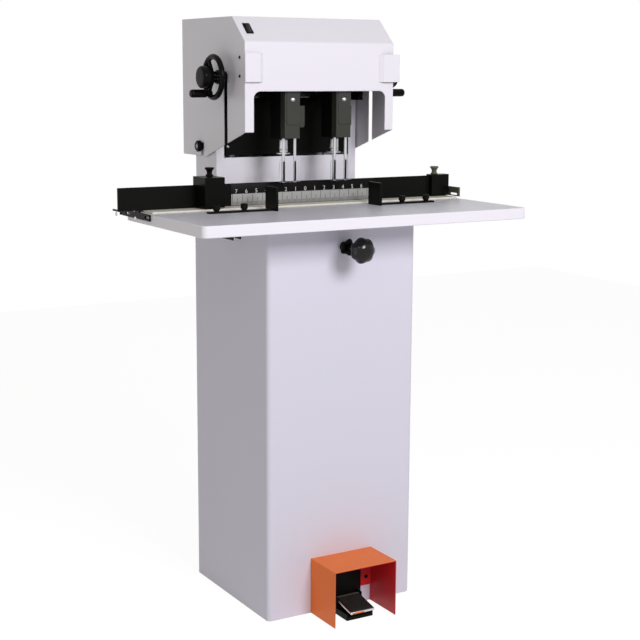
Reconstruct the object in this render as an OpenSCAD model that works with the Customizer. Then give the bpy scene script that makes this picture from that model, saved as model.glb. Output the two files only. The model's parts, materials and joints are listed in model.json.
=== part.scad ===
// Two-spindle paper drill on a floor pedestal, in millimetres.
// X runs along the gauge (zero at the ruler's zero), -Y is the operator's side, +Z is up.
// The origin is the middle of the pedestal's bottom face.

/* [Pedestal] */
// Width of the pedestal cabinet
ped_w = 382; // [340:1:460]
// Depth of the pedestal cabinet
ped_d = 368; // [340:1:420]
// Height of the pedestal cabinet, up to the table's underside
ped_h = 894; // [700:1:1000]
// Sheet thickness of the cabinet
ped_t = 2; // [1.5:0.5:4]
// Radius of the cabinet's upright corners
ped_r = 11; // [6:1:20]
// Width of the rear access panel
rear_w = 300; // [200:1:320]
// Height of the rear access panel
rear_h = 640; // [400:1:660]

/* [Table] */
// Width of the table
table_w = 812; // [700:1:1000]
// How far the table's front edge lies in front of the origin
table_front = 315; // [270:1:360]
// Thickness of the table
table_t = 25; // [18:1:35]
// Radius of the table's front corners, seen from above
table_r = 12; // [5:1:30]
// Thickness of the drilling board
board_t = 4; // [3:0.5:6]
// How far the drilling board's front edge lies in front of the origin
board_front = 55; // [46:1:62]
// Height of the steel angles under the table
angle_h = 17; // [8:1:20]
// Distance from the middle to each steel angle
angle_x = 300; // [230:1:330]

/* [Column] */
// Width of the column
col_w = 372; // [360:1:376]
// Depth of the column
col_d = 108; // [100:1:112]
// Sheet thickness of the column
col_t = 3; // [2:0.5:4]
// Width of the column's front flanges
flange_w = 20; // [12:1:22]
// Height of the front panel above the table
panel_h = 106; // [80:1:108]
// Diameter of the two upright guide posts
post_d = 25; // [16:1:30]
// Distance from the middle to each guide post
post_x = 120; // [90:1:130]

/* [Head cover] */
// Width of the head cover
cover_w = 383; // [380:1:400]
// Sheet thickness of the head cover
cover_t = 2; // [1:0.5:2.5]
// How far the cover's front lies in front of the origin
cover_front = 83; // [80:1:95]
// How far the cover's back lies behind the origin
cover_back = 235; // [195:1:260]
// Height of the cover's top above the table
cover_top = 419; // [412:1:460]
// Height of the cover's bottom above the table
cover_low = 108; // [80:1:118]
// Height of the cover's front bottom edge above the table
cover_front_low = 170; // [140:1:185]
// Depth of the sloping top front
chamfer_y = 60; // [45:1:70]
// Height of the sloping top front
chamfer_z = 55; // [40:1:60]
// Width of the front opening
mouth_w = 339; // [320:1:345]
// Height of the front opening's top above the table
mouth_top = 258; // [230:1:265]
// Radius of the front opening's top corners
mouth_r = 16; // [8:1:30]
// Width of each side slot for a screw shaft
slot_w = 16; // [15:1:24]
// Height of the corner brackets
corner_h = 62; // [40:1:80]
// Width of a corner bracket's front leg
corner_w = 36; // [25:1:60]
// How far the corner brackets stand in front of the cover
corner_d = 8; // [5:1:12]
// Diameter of the cover's thumb knobs
cover_knob_d = 26; // [20:1:36]
// Width of the power switch
switch_w = 17; // [14:1:24]
// Length of the power switch up the slope
switch_l = 32; // [26:1:40]

/* [Head] */
// Travel of the head when it drills
feed_travel = 50; // [30:1:50]
// Distance from the middle to each spindle at rest
spindle_x = 66.5; // [60:0.5:100]
// How far each head can move inwards from rest
head_in = 26; // [10:1:26]
// How far each head can move outwards from rest
head_out = 44; // [20:1:45]
// How far the spindle axes lie in front of the origin
spindle_y = 28; // [27:0.5:30]
// Thickness of the carriage plate
carriage_t = 12; // [8:1:14]
// Diameter of the two cross bars
bar_d = 20; // [14:1:24]
// Diameter of the screw shafts
screw_d = 14; // [8:1:14]
// Height of the screw shafts above the table
screw_z = 288; // [280:1:295]
// Width of a rod block
block_w = 38; // [34:1:42]
// Depth of a rod block
block_d = 21; // [16:1:22]
// Diameter of a spindle motor
motor_d = 56; // [44:1:56]
// Height of a spindle motor
motor_h = 82; // [70:1:98]
// Diameter of a chuck
chuck_d = 20.5; // [18:0.5:26]
// Length of a chuck
chuck_h = 35; // [25:1:38]
// Diameter of a drill bit
bit_d = 8; // [6:0.5:9]
// Bore of a drill bit
bit_bore = 5; // [2:0.5:5]
// Diameter of the shield rods
rod_d = 6.5; // [5:0.5:8]
// Distance between the two rods of a shield
rod_gap = 28.8; // [24:0.2:29]
// Width of a clear shield
shield_w = 54; // [40:1:60]
// Height of a clear shield
shield_h = 46; // [30:1:46]
// Thickness of a clear shield
shield_t = 2.2; // [1.5:0.1:3]

/* [Hand wheels] */
// Diameter of a hand wheel
wheel_d = 101; // [80:1:110]
// Thickness of a hand wheel's rim
rim_d = 12.5; // [7:0.5:13]
// Distance from the cover's side to a hand wheel's middle plane
wheel_out = 29.5; // [24:0.5:40]
// Diameter of a hand wheel's hub cap
cap_d = 49; // [36:1:56]
// Length of a crank grip
grip_l = 39; // [30:1:60]
// Diameter of a crank grip
grip_d = 18; // [13:1:20]

/* [Gauge] */
// Length of the gauge bar
gauge_l = 866; // [800:1:900]
// Height of the gauge bar
gauge_h = 50; // [40:1:56]
// Thickness of the gauge bar
gauge_t = 6; // [4:0.5:8]
// How far the gauge bar's front lies in front of the origin
gauge_y = 11; // [9:0.5:11.5]
// Length of the ruler
ruler_l = 381; // [300:1:400]
// Distance from the middle to each table stop
stop_x = 135; // [125:1:160]
// Length of a table stop's upright plate
stop_l = 50; // [35:1:60]
// Height of a table stop above the table
stop_h = 52; // [35:1:60]

/* [Foot pedal] */
// Width of the foot guard
guard_w = 162; // [140:1:200]
// Height of the foot guard
guard_h = 131; // [118:1:170]
// Depth of the foot guard
guard_d = 108; // [104:1:140]
// Sheet thickness of the foot guard
guard_t = 2; // [1.5:0.5:3]
// Width of the treadle
treadle_w = 62; // [50:1:66]
// Length of the treadle in front of its hinge pin
treadle_l = 69; // [55:1:75]

/* [Hidden] */
$fn = 64;

// Fits and clearances
run_fit = 0.05;       // radial clearance of a shaft in its bore
slide_gap = 0.2;      // clearance under a flat piece that slides
face_gap = 0.3;       // clearance between a moving piece and its neighbour
eps = 0.5;            // overlap of a cutting tool past a face

// Colours
paint = [0.92, 0.90, 0.94];
laminate = [0.86, 0.85, 0.89];
black = [0.09, 0.09, 0.09];
iron = [0.24, 0.24, 0.22];
steel = [0.75, 0.76, 0.78];
orange = [0.86, 0.38, 0.16];

// Base of the cabinet: a flange all round, and two rails that carry the tank
floor_t = 3;
base_lip = 15;
base_rail_w = 20;
boss_l = 10;                                  // boss of the control shaft

// Levels
table_z = ped_h + table_t;                    // table surface
board_z = table_z + board_t;
cover_z1 = table_z + cover_top;
cover_z0 = table_z + cover_low;
cover_zf = table_z + cover_front_low;
corner_z0 = table_z + 278;
corner_out = [3, 12.5];                       // left and right bracket, beyond the cover's side
corner_wider = 4.5;                           // the right bracket's extra width
corner_back = 14;                             // from the cover's front to a side leg's end
corner_slope = 10;                            // width of the sloping inner flange
mouth_z = table_z + mouth_top;

// Column
col_y0 = 70;                                  // front face of the column, back edge of the table
col_y1 = col_y0 + col_d;
col_z1 = cover_z1 - cover_t;                  // the cover rests on the column's top
panel_z1 = table_z + panel_h;
post_y = col_y0 + 60;
post_r = post_d / 2;

// Carriage and its cross bars
shaft_z = table_z + screw_z;
carriage_y = col_y0 + col_t + 5;              // front of the carriage plate
carriage_w = col_w - 2 * flange_w - 16;       // passes between the column's flanges
carriage_z0 = panel_z1 + 5;
carriage_z1 = shaft_z + 83;
cheek_t = 12;
cheek_y = -6;
cheek_z0 = shaft_z - 52;
cheek_z1 = shaft_z + 53;
screw_y = 11;
screw_r = screw_d / 2;
bar_y = 39;
bar_rise = 38;                                // from the screw shafts to each cross bar
bar_z = [shaft_z - bar_rise, shaft_z + bar_rise];
bar_r = bar_d / 2;
housing_w = 50;
housing_z0 = carriage_z0 + 10;
housing_z1 = carriage_z1 - 10;
lug_z0 = shaft_z - 17;
lug_t = 25;

// Lift cylinder
ram_r = 12;
piston_r = 24;
barrel_r = 30;
barrel_z0 = ped_h - 94;
barrel_z1 = ped_h + 196;
ram_z0 = ped_h + 60;

// Drill heads
head_z0 = table_z + 152;                      // underside of the spindle housing
head_z1 = shaft_z - 7;                        // top of the spindle housing, under its motor
quill_w = 34;
slider_w = 52;
slider_y0 = 1;
slider_y1 = 52;
slider_z0 = shaft_z - 55;
slider_z1 = shaft_z + 55;
quill_r = 8.5;                                // spindle radius in its housing
block_y1 = spindle_y + 21;                    // the rod block's back, in front of the origin
block_y0 = block_y1 + block_d;                // the rod block's front
ear_out = [16, 6];                            // clamping ear, left and right block
block_z0 = head_z0 + 2;
block_z1 = head_z1 - 8;
rod_y = block_y1 + 6;
rod_r = rod_d / 2;
rod_z0 = board_z + feed_travel + 2;           // the rods clear the board at full feed
rod_z1 = rod_z0 + 170;
bit_z0 = board_z + feed_travel + face_gap;    // the tip meets the board at full feed
chuck_z1 = head_z0 - 1;
chuck_z0 = chuck_z1 - chuck_h;
shield_z0 = rod_z0 + 1;
shield_y = rod_y + rod_r - 1;                 // back face of the shield, on the rods' flats

// Hand wheels
side_x = cover_w / 2;
wheel_x = side_x + wheel_out;
rim_r = (wheel_d - rim_d) / 2;
hub_in = 16;
hub_out = 8;
crank_r = rim_r - 2.25;
drum_l = 23;                                  // straight part of the hub cap
drum_edge = 2.5;
crank_turn = [-59, -123];                     // left and right crank, degrees up from +Y
pin_r = 4;

// Gauge
gauge_z0 = board_z + slide_gap;
gauge_z1 = gauge_z0 + gauge_h;
gauge_x0 = -460;
gauge_x1 = gauge_x0 + gauge_l;
gauge_foot = 30;
foot_gap = 6.2;                               // from the table's left edge to the bar's foot
gauge_fwd = 9;                                // how far the gauge can be set forwards
gauge_aft = 8;                                // how far the gauge can be set back
gauge_slot = gauge_fwd + gauge_aft + 6;
gauge_shift = (gauge_fwd - gauge_aft) / 2;
guide_y = [-47, 58];
ruler_t = 1;
end_t = 4;
end_x = table_w / 2 + slide_gap;

// Clamps on the gauge bar: left edge, width, depth in front of the origin, height above the
// table, and the screw's distance from that edge
clamp_left = [gauge_x0 + 182, 48, 61, 73, 36];
clamp_right = [gauge_x1 - 59, 50, 24, 57, 17];
clamp_screw_y = gauge_y - gauge_t / 2;

// Steel angles under the table, left and right
angle_front = [240, 140];

// Table stops
rail_y = 105;
rail_w = 14;
rail_t = 4;
rail_out = 158;
stop_screw_x = [71, 138];                     // from the stop's plate, outwards
stop_slot = 36;
stop_t = 6;
stop_y = 100;
thumb_r = 8;
thumb_h = 15;
stud_r = 3;

// Foot pedal
front_y = -ped_d / 2;
pin_y = front_y - 28;
pin_z = 33;
tread_slope = atan2(13, 68);
tread_t = 8;
tray_x = treadle_w / 2 + 0.6;
tray_t = 3;
tray_y = pin_y - 56;
pedal_z0 = 0.5;
spring_back = 33;                             // from the hinge pin forward to the spring
spring_r = 7;
spring_z1 = pin_z - (spring_back + spring_r) * tan(tread_slope)
    - (tread_t / 2 - 2) / cos(tread_slope) - face_gap;
valve_w = 88;
valve_h = 108;

// Control knobs under the table
knob_z = table_z - 79;
knob_shaft_r = 8;

// Cover slope
slope_a = atan2(chamfer_z, chamfer_y);
switch_x = -(side_x - 23.5);
switch_at = [switch_x, -cover_front + chamfer_y * 0.51, cover_z1 - chamfer_z * 0.49];
rocker_w = switch_w - 7;
rocker_r = switch_l / 2 - 3.2;
rocker_tilt = 8;
rocker_depth = 2;

// Oil tank
tank_x = [-150, 30];
tank_y = [-100, 100];
tank_z1 = 200;
filler_at = [-130, -70];
filler_r = 16;
filler_h = 18;

// Pump motor, upright on the tank
pump_x = -70;
pump_r = 55;
pump_h = 170;                                 // its straight part
pump_foot = 12;
pump_cap = 20;

// Rear panel and the screws
rear_z0 = 120;
rear_lap = 15;                                // how far the panel laps the hole behind it
inlet_at = [122, 75];
inlet_w = 44;
inlet_h = 26;
screw_head_r = 5;
screw_head_h = 3;

knob_y = 144;
knob_at_z = cover_z0 + 22;

// ---------- shared shapes ----------

module rounded_rect(w, d, r) {
    square([w - 2 * r, d], center = true);
    square([w, d - 2 * r], center = true);
    for (x = [-1, 1], y = [-1, 1]) translate([x * (w / 2 - r), y * (d / 2 - r)]) circle(r);
}

// A box from one corner to the other
module span(x, y, z) {
    translate([x[0], y[0], z[0]]) cube([x[1] - x[0], y[1] - y[0], z[1] - z[0]]);
}

module rod_x(x0, x1, r) {
    translate([x0, 0, 0]) rotate([0, 90, 0]) cylinder(h = x1 - x0, r = r);
}

// A rod along Y, from y0 back to y1
module rod_y(y0, y1, r) {
    translate([0, y1, 0]) rotate([90, 0, 0]) cylinder(h = y1 - y0, r = r);
}

// A slot through a plate in the XY plane, length measured end to end along X
module slot_x(l, w, h) {
    translate([-(l - w) / 2, -w / 2, 0]) cube([l - w, w, h]);
    for (s = [-1, 1]) translate([s * (l - w) / 2, 0, 0]) cylinder(h = h, d = w);
}

// Turns a YZ outline into a solid of width w along X, centred
module side_extrude(w) {
    translate([-w / 2, 0, 0]) rotate([90, 0, 90]) linear_extrude(height = w) children();
}

module left_and_right() {
    children();
    mirror([1, 0, 0]) children();
}

// Places its child, drawn on the XY plane, on the cover's sloping front
module on_slope() {
    translate(switch_at) rotate([slope_a, 0, 0]) children();
}

// ---------- pedestal ----------

module cabinet_wall_holes() {
    // rear access hole behind the panel
    span([-rear_w / 2 + rear_lap, rear_w / 2 - rear_lap], [ped_d / 2 - ped_t - eps, ped_d / 2 + eps],
        [rear_z0 + rear_lap, rear_z0 + rear_h - rear_lap]);
    // mains inlet
    translate([inlet_at[0], ped_d / 2, inlet_at[1]])
        span([-inlet_w / 2, inlet_w / 2], [-ped_t - eps, eps], [-inlet_h / 2, inlet_h / 2]);
    // control shaft
    translate([0, 0, knob_z]) rod_y(front_y - eps, front_y + boss_l + eps, knob_shaft_r + run_fit);
    // pedal valve at the bottom of the front
    span([-valve_w / 2 - face_gap, valve_w / 2 + face_gap], [front_y - eps, front_y + ped_t + eps],
        [floor_t, valve_h + face_gap]);
    // lift cylinder through the top
    translate([0, post_y, ped_h - ped_t - eps]) cylinder(h = ped_t + 2 * eps, r = barrel_r + 1);
}

module pedestal_cabinet() color(paint) difference() {
    union() {
        difference() {
            linear_extrude(height = ped_h) rounded_rect(ped_w, ped_d, ped_r);
            translate([0, 0, floor_t]) linear_extrude(height = ped_h - floor_t - ped_t)
                rounded_rect(ped_w - 2 * ped_t, ped_d - 2 * ped_t, ped_r - ped_t);
            // the underside is open inside its flange
            translate([0, 0, -eps]) linear_extrude(height = floor_t + 2 * eps)
                rounded_rect(ped_w - 2 * base_lip, ped_d - 2 * base_lip, ped_r);
        }
        // rails under the tank
        for (x = [tank_x[0] + base_rail_w, 0])
            span([x - base_rail_w / 2, x + base_rail_w / 2],
                [-ped_d / 2 + base_lip - 1, ped_d / 2 - base_lip + 1], [0, floor_t]);
        // bearing boss of the control shaft
        translate([0, 0, knob_z]) rod_y(front_y, front_y + boss_l, knob_shaft_r + 8);
    }
    cabinet_wall_holes();
}

module rear_panel() color(paint) difference() {
    translate([0, ped_d / 2 + 2, rear_z0 + rear_h / 2]) rotate([90, 0, 0])
        linear_extrude(height = 2) rounded_rect(rear_w, rear_h, 8);
    // cooling slots
    for (k = [0 : 5]) span([-60, 60], [ped_d / 2 - eps, ped_d / 2 + 2 + eps],
        [rear_z0 + 60 + 16 * k, rear_z0 + 66 + 16 * k]);
}

module screw_head() {
    cylinder(h = screw_head_h * 0.5, r = screw_head_r);
    translate([0, 0, screw_head_h * 0.5])
        cylinder(h = screw_head_h * 0.5, r1 = screw_head_r, r2 = screw_head_r * 0.7);
}

module panel_screws() color(steel) {
    // rear panel
    for (x = [-1, 1], z = [0.04, 0.5, 0.96])
        translate([x * (rear_w / 2 - 8), ped_d / 2 + 2, rear_z0 + z * rear_h]) rotate([-90, 0, 0])
            screw_head();
    // two on each side of the cover, behind its corner bracket
    left_and_right() for (z = [0.2, 0.85])
        translate([-side_x, -cover_front + corner_back + 10, corner_z0 + z * corner_h])
            rotate([0, -90, 0]) screw_head();
    // gauge ends, through their slots into the table's left edge
    for (y = guide_y) translate([-end_x - end_t - slide_gap, y, table_z - 8]) rotate([0, -90, 0]) {
        screw_head();
        translate([0, 0, -end_t - 2 * slide_gap]) cylinder(h = end_t + 2 * slide_gap, r = 2.4);
    }
    // foot guard
    for (x = [-1, 1]) translate([x * (guard_w / 2 - 14), front_y - guard_t, 61]) rotate([90, 0, 0])
        screw_head();
}

module power_inlet() color(black) translate([inlet_at[0], ped_d / 2, inlet_at[1]]) difference() {
    union() {
        span([-inlet_w / 2 - 4, inlet_w / 2 + 4], [0, 3], [-inlet_h / 2 - 4, inlet_h / 2 + 4]);
        span([-inlet_w / 2 + face_gap, inlet_w / 2 - face_gap], [-22, 0],
            [-inlet_h / 2 + face_gap, inlet_h / 2 - face_gap]);
    }
    span([-inlet_w / 2 + 6, inlet_w / 2 - 6], [-17, 3 + eps], [-inlet_h / 2 + 4, inlet_h / 2 - 4]);
}

// ---------- column ----------

module column_shell() color(paint) difference() {
    span([-col_w / 2, col_w / 2], [col_y0, col_y1], [ped_h, col_z1]);
    span([-col_w / 2 + col_t, col_w / 2 - col_t], [col_y0 + col_t, col_y1 - col_t],
        [ped_h - eps, col_z1 - col_t]);
    // open front between the flanges
    span([-col_w / 2 + flange_w, col_w / 2 - flange_w], [col_y0 - eps, col_y0 + col_t + eps],
        [ped_h - eps, col_z1 - 12]);
    // seats of the guide posts
    left_and_right() translate([post_x, post_y, col_z1 - col_t - eps])
        cylinder(h = col_t + 2 * eps, r = post_r - 6 + run_fit);
    // thumb knob studs
    translate([0, knob_y, knob_at_z]) rod_x(-col_w / 2 - eps, col_w / 2 + eps, 4 + run_fit);
}

module column_front_panel() color(paint)
    span([-col_w / 2 + flange_w - 12, col_w / 2 - flange_w + 12], [col_y0 + col_t, col_y0 + col_t + 2],
        [ped_h + face_gap, panel_z1]);

module guide_posts() color(steel) left_and_right() translate([post_x, post_y, 0]) {
    translate([0, 0, ped_h]) cylinder(h = col_z1 - col_t - ped_h, r = post_r);
    translate([0, 0, col_z1 - col_t]) cylinder(h = col_t, r = post_r - 6);
}

module lift_cylinder() color(iron) translate([0, post_y, 0]) difference() {
    union() {
        translate([0, 0, barrel_z0]) cylinder(h = barrel_z1 - barrel_z0, r = barrel_r);
        translate([0, 0, ped_h]) cylinder(h = 10, r = barrel_r + 14);
        span([-8, 8], [-barrel_r - 8, 0], [barrel_z0 + 4, barrel_z0 + 20]);
    }
    translate([0, 0, barrel_z0 + 15]) cylinder(h = barrel_z1 - barrel_z0 - 27, r = piston_r + run_fit);
    translate([0, 0, barrel_z1 - 13]) cylinder(h = 14, r = ram_r + run_fit);
}

module cylinder_rod() color(steel) translate([0, post_y, 0]) {
    translate([0, 0, ram_z0]) cylinder(h = 25, r = piston_r);
    translate([0, 0, ram_z0]) cylinder(h = lug_z0 + lug_t + 12 - ram_z0, r = ram_r);
    translate([0, 0, lug_z0 + lug_t]) cylinder(h = 10, r = 18, $fn = 6);
}

// ---------- hydraulic power unit, inside the cabinet ----------

module oil_tank() color(iron) {
    span(tank_x, tank_y, [floor_t, tank_z1]);
    translate([filler_at[0], filler_at[1], tank_z1]) cylinder(h = filler_h, r = filler_r);
}

module pump_motor() color(iron) translate([pump_x, 0, tank_z1]) {
    cylinder(h = pump_foot, r = pump_r + 11);
    translate([0, 0, pump_foot]) cylinder(h = pump_h, r = pump_r);
    translate([0, 0, pump_foot + pump_h]) cylinder(h = pump_cap, r1 = pump_r, r2 = pump_r - 9);
}

module pressure_pipe() color(steel) {
    translate([0, 80, tank_z1]) cylinder(h = barrel_z0 + 12 - tank_z1, r = 5);
    translate([0, 80, barrel_z0 + 12]) sphere(r = 5);
    translate([0, 0, barrel_z0 + 12]) rod_y(80, post_y - barrel_r - 8, 5);
}

// ---------- table ----------

module table_top() color(laminate) difference() {
    translate([0, 0, ped_h]) linear_extrude(height = table_t) {
        translate([-table_w / 2, -table_front + table_r])
            square([table_w, table_front + col_y0 - table_r]);
        translate([-table_w / 2 + table_r, -table_front]) square([table_w - 2 * table_r, table_r + 1]);
        for (s = [-1, 1]) translate([s * (table_w / 2 - table_r), -table_front + table_r])
            circle(table_r);
    }
    // inserts of the stop screws
    left_and_right() for (x = stop_screw_x) translate([stop_x + x, -rail_y, table_z - 14])
        cylinder(h = 15, r = stud_r + run_fit);
}

// The right-hand angle, its front end that far in front of the origin, and its arm to the cabinet
module table_angle(front) {
    span([angle_x, angle_x + 20], [-front, 50], [ped_h - 3, ped_h]);
    span([angle_x, angle_x + 3], [-front, 50], [ped_h - angle_h, ped_h]);
    span([ped_w / 2, angle_x], [-60, -35], [ped_h - 3, ped_h]);
    span([ped_w / 2, ped_w / 2 + 3], [-60, -35], [ped_h - 40, ped_h]);
}

module table_brackets() color(black) {
    mirror([1, 0, 0]) table_angle(angle_front[0]);
    table_angle(angle_front[1]);
}

module drilling_board() color([0.83, 0.81, 0.74])
    span([-table_w / 2 + 6, table_w / 2 - 6], [-board_front, col_y0 - 2], [table_z, board_z]);

// ---------- head cover ----------

// Outline of the cover's side; t insets it, drop lengthens its open bottom
module cover_outline(t, drop) {
    rise = t / cos(slope_a);
    polygon([
        [-cover_front + t, (drop > 0 ? cover_z0 - drop : cover_zf)],
        [-cover_front + t, cover_z1 - chamfer_z + t * tan(slope_a) - rise],
        [-cover_front + chamfer_y + (rise - t) / tan(slope_a), cover_z1 - t],
        [cover_back - t, cover_z1 - t],
        [cover_back - t, cover_z0 - drop],
        [knob_y - 31, cover_z0 - drop],
    ]);
}

module head_cover() color(paint) difference() {
    side_extrude(cover_w) cover_outline(0, 0);
    side_extrude(cover_w - 2 * cover_t) cover_outline(cover_t, 60);
    // front opening with rounded top corners
    span([-mouth_w / 2, mouth_w / 2], [-cover_front - eps, -cover_front + cover_t + eps],
        [cover_z0 - 60, mouth_z - mouth_r]);
    span([-mouth_w / 2 + mouth_r, mouth_w / 2 - mouth_r],
        [-cover_front - eps, -cover_front + cover_t + eps], [mouth_z - mouth_r - 1, mouth_z]);
    left_and_right() translate([mouth_w / 2 - mouth_r, 0, mouth_z - mouth_r])
        rod_y(-cover_front - eps, -cover_front + cover_t + eps, mouth_r);
    // slots that let the screw shafts travel down with the head
    span([-side_x - eps, side_x + eps], [screw_y - slot_w / 2, screw_y + slot_w / 2],
        [cover_z0 - eps, shaft_z]);
    translate([0, screw_y, shaft_z]) rod_x(-side_x - eps, side_x + eps, slot_w / 2);
    // hooked slots for the thumb knobs
    span([-side_x - eps, side_x + eps], [knob_y - 20, knob_y - 6],
        [cover_z0 - eps, knob_at_z + 9]);
    span([-side_x - eps, side_x + eps], [knob_y - 10, knob_y], [knob_at_z - 5, knob_at_z + 5]);
    translate([0, knob_y, knob_at_z]) rod_x(-side_x - eps, side_x + eps, 5);
    // switch
    on_slope() translate([-switch_w / 2 + 1.7, -switch_l / 2 + 1.7, -8])
        cube([switch_w - 3.4, switch_l - 3.4, 12]);
}

// One bent cap on a front corner, from its sloping inner flange round to its side leg
module corner_bracket(out, w) {
    t = 2;
    x1 = side_x + out;
    x0 = x1 - w;
    y0 = -cover_front - corner_d;
    y1 = -cover_front + corner_back;
    translate([0, 0, corner_z0]) linear_extrude(height = corner_h)
        polygon([[x0 - corner_slope - t, -cover_front], [x0 - 1, y0], [x1, y0], [side_x + t, y1 - 3],
            [side_x + t, y1], [side_x, y1], [side_x, y1 - 3], [x1 - t, y0 + t], [x0, y0 + t],
            [x0 - corner_slope + t, -cover_front]]);
}

module corner_brackets() color(paint) {
    mirror([1, 0, 0]) corner_bracket(corner_out[0], corner_w);
    corner_bracket(corner_out[1], corner_w + corner_wider);
}

module cover_knobs() color(black) left_and_right() translate([0, knob_y, knob_at_z]) {
    rod_x(side_x, side_x + 8, cover_knob_d / 2);
    rod_x(side_x + 8, side_x + 9.5, cover_knob_d / 2 - 2.5);
    rod_x(col_w / 2 - col_t, side_x, 4);
    rod_x(col_w / 2, side_x - cover_t - face_gap, 9);
}

module switch_frame() color(black) on_slope() difference() {
    union() {
        translate([-switch_w / 2, -switch_l / 2, 0]) cube([switch_w, switch_l, 2]);
        translate([-switch_w / 2 + 2, -switch_l / 2 + 2, -20]) cube([switch_w - 4, switch_l - 4, 20.5]);
    }
    translate([-rocker_w / 2 - face_gap, 0, -rocker_depth])
        rotate([0, 90, 0]) cylinder(h = rocker_w + 2 * face_gap, r = rocker_r + face_gap);
}

// The rocker's two faces meet in a shallow valley over its pivot
module power_rocker() color([0.05, 0.05, 0.05])
    on_slope() translate([0, 0, -rocker_depth]) rotate([rocker_tilt, 0, 0]) intersection() {
        translate([-rocker_w / 2, 0, 0]) rotate([0, 90, 0]) cylinder(h = rocker_w, r = rocker_r);
        side_extrude(rocker_w) polygon([[-rocker_r - 1, -9], [-rocker_r - 1, 6.6],
            [0, rocker_depth + 2.2], [rocker_r + 1, 6.6], [rocker_r + 1, -9]]);
    }

// ---------- carriage ----------

module carriage() color(black) difference() {
    union() {
        span([-carriage_w / 2, carriage_w / 2], [carriage_y, carriage_y + carriage_t],
            [carriage_z0, carriage_z1]);
        // cheeks and a middle bearing carry the bars and the screw shafts
        left_and_right() span([carriage_w / 2 - cheek_t, carriage_w / 2], [cheek_y, carriage_y],
            [cheek_z0, cheek_z1]);
        span([-8, 8], [cheek_y, carriage_y], [shaft_z - 22, shaft_z + 22]);
        // bearing housings on the guide posts
        left_and_right() span([post_x - housing_w / 2, post_x + housing_w / 2],
            [carriage_y + carriage_t, post_y + post_r + 12], [housing_z0, housing_z1]);
        // lug that takes the cylinder's rod
        span([-22, 22], [carriage_y + carriage_t, post_y + 22], [lug_z0, lug_z0 + lug_t]);
    }
    left_and_right() translate([post_x, post_y, carriage_z0 - 1])
        cylinder(h = carriage_z1 - carriage_z0 + 2, r = post_r + run_fit);
    for (z = bar_z) translate([0, bar_y, z])
        rod_x(-carriage_w / 2 - 1, carriage_w / 2 + 1, bar_r + run_fit);
    translate([0, screw_y, shaft_z]) rod_x(-carriage_w / 2 - 1, carriage_w / 2 + 1, screw_r + run_fit);
    translate([0, post_y, lug_z0 - 1]) cylinder(h = lug_t + 2, r = ram_r + run_fit);
}

module slide_bars() color(steel) for (z = bar_z) translate([0, bar_y, z])
    rod_x(-carriage_w / 2, carriage_w / 2, bar_r);

// The right-hand shaft; the trapezoidal thread is left plain
module lead_screw() {
    translate([0, screw_y, shaft_z]) {
        rod_x(1, wheel_x + hub_out, screw_r);
        // thrust collar outside the cheek
        rod_x(carriage_w / 2 + face_gap, carriage_w / 2 + 6, screw_r + 5);
    }
}

// The right-hand wheel, about its own axis along +X; turn sets where the crank pin stands
module hand_wheel(turn) {
    difference() {
        union() {
            rotate([0, 90, 0]) rotate_extrude() translate([rim_r, 0]) circle(rim_d / 2, $fn = 32);
            rod_x(-hub_in, hub_out, 13);
            rod_x(hub_out, hub_out + drum_l, cap_d / 2);
            rod_x(hub_out + drum_l, hub_out + drum_l + drum_edge, cap_d / 2 - 3);
            for (a = [0, 120, 240]) rotate([turn - 90 + a, 0, 0]) translate([-2.5, -4.5, 8])
                cube([5, 9, rim_r - 8]);
            rotate([turn - 90, 0, 0]) translate([0, 0, crank_r]) rod_x(-rim_d / 2, rim_d / 2 + 0.5, 7);
            rotate([turn - 90, 0, 0]) translate([0, 0, crank_r]) rod_x(0, rim_d / 2 + grip_l - 3, pin_r);
        }
        rod_x(-hub_in - 1, hub_out, screw_r + run_fit);
    }
}

// The grip that turns on the crank pin
module crank_grip(turn) {
    rotate([turn - 90, 0, 0]) translate([rim_d / 2 + 0.8, 0, crank_r]) rotate([0, 90, 0]) difference() {
        rotate_extrude() polygon([[0, 0], [grip_d / 2 - 1.5, 0], [grip_d / 2, 2.5],
            [grip_d / 2, grip_l - 3], [grip_d / 2 - 2, grip_l], [0, grip_l]]);
        translate([0, 0, -1]) cylinder(h = grip_l - 2, r = pin_r + run_fit);
    }
}

module at_wheel() {
    translate([wheel_x, screw_y, shaft_z]) children();
}

// ---------- drill heads, drawn at X = 0 ----------

module drill_head() color(black) difference() {
    union() {
        span([-quill_w / 2, quill_w / 2], [-block_y1, slider_y0], [head_z0, head_z1]);
        span([-slider_w / 2, slider_w / 2], [slider_y0, slider_y1], [slider_z0, slider_z1]);
    }
    for (z = bar_z) translate([0, bar_y, z])
        rod_x(-slider_w / 2 - 1, slider_w / 2 + 1, bar_r + run_fit);
    translate([0, screw_y, shaft_z]) rod_x(-slider_w / 2 - 1, slider_w / 2 + 1, screw_r + run_fit);
    translate([0, -spindle_y, head_z0 - 1]) cylinder(h = head_z1 - head_z0 + 2, r = quill_r + run_fit);
}

// A rod block; ear is how far its clamping ear stands out on the right side
module rod_block(ear) color(iron) difference() {
    union() {
        span([-block_w / 2, block_w / 2], [-block_y0, -block_y1], [block_z0, block_z1]);
        // raised front plate with rounded lower corners
        translate([0, -block_y0, 0]) rotate([90, 0, 0]) linear_extrude(height = 2) {
            translate([-block_w / 2 + 4, block_z0 + 36]) square([block_w - 5, block_z1 - block_z0 - 36]);
            translate([-block_w / 2 + 10, block_z0 + 30]) square([block_w - 17, 7]);
            translate([-block_w / 2 + 10, block_z0 + 36]) circle(6);
            translate([block_w / 2 - 7, block_z0 + 36]) circle(6);
        }
        side_ear(block_w / 2 + ear);
    }
    for (s = [-1, 1]) translate([s * rod_gap / 2, -rod_y, block_z0 - 1])
        cylinder(h = block_z1 - block_z0 + 2, r = rod_r + run_fit);
}

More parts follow.
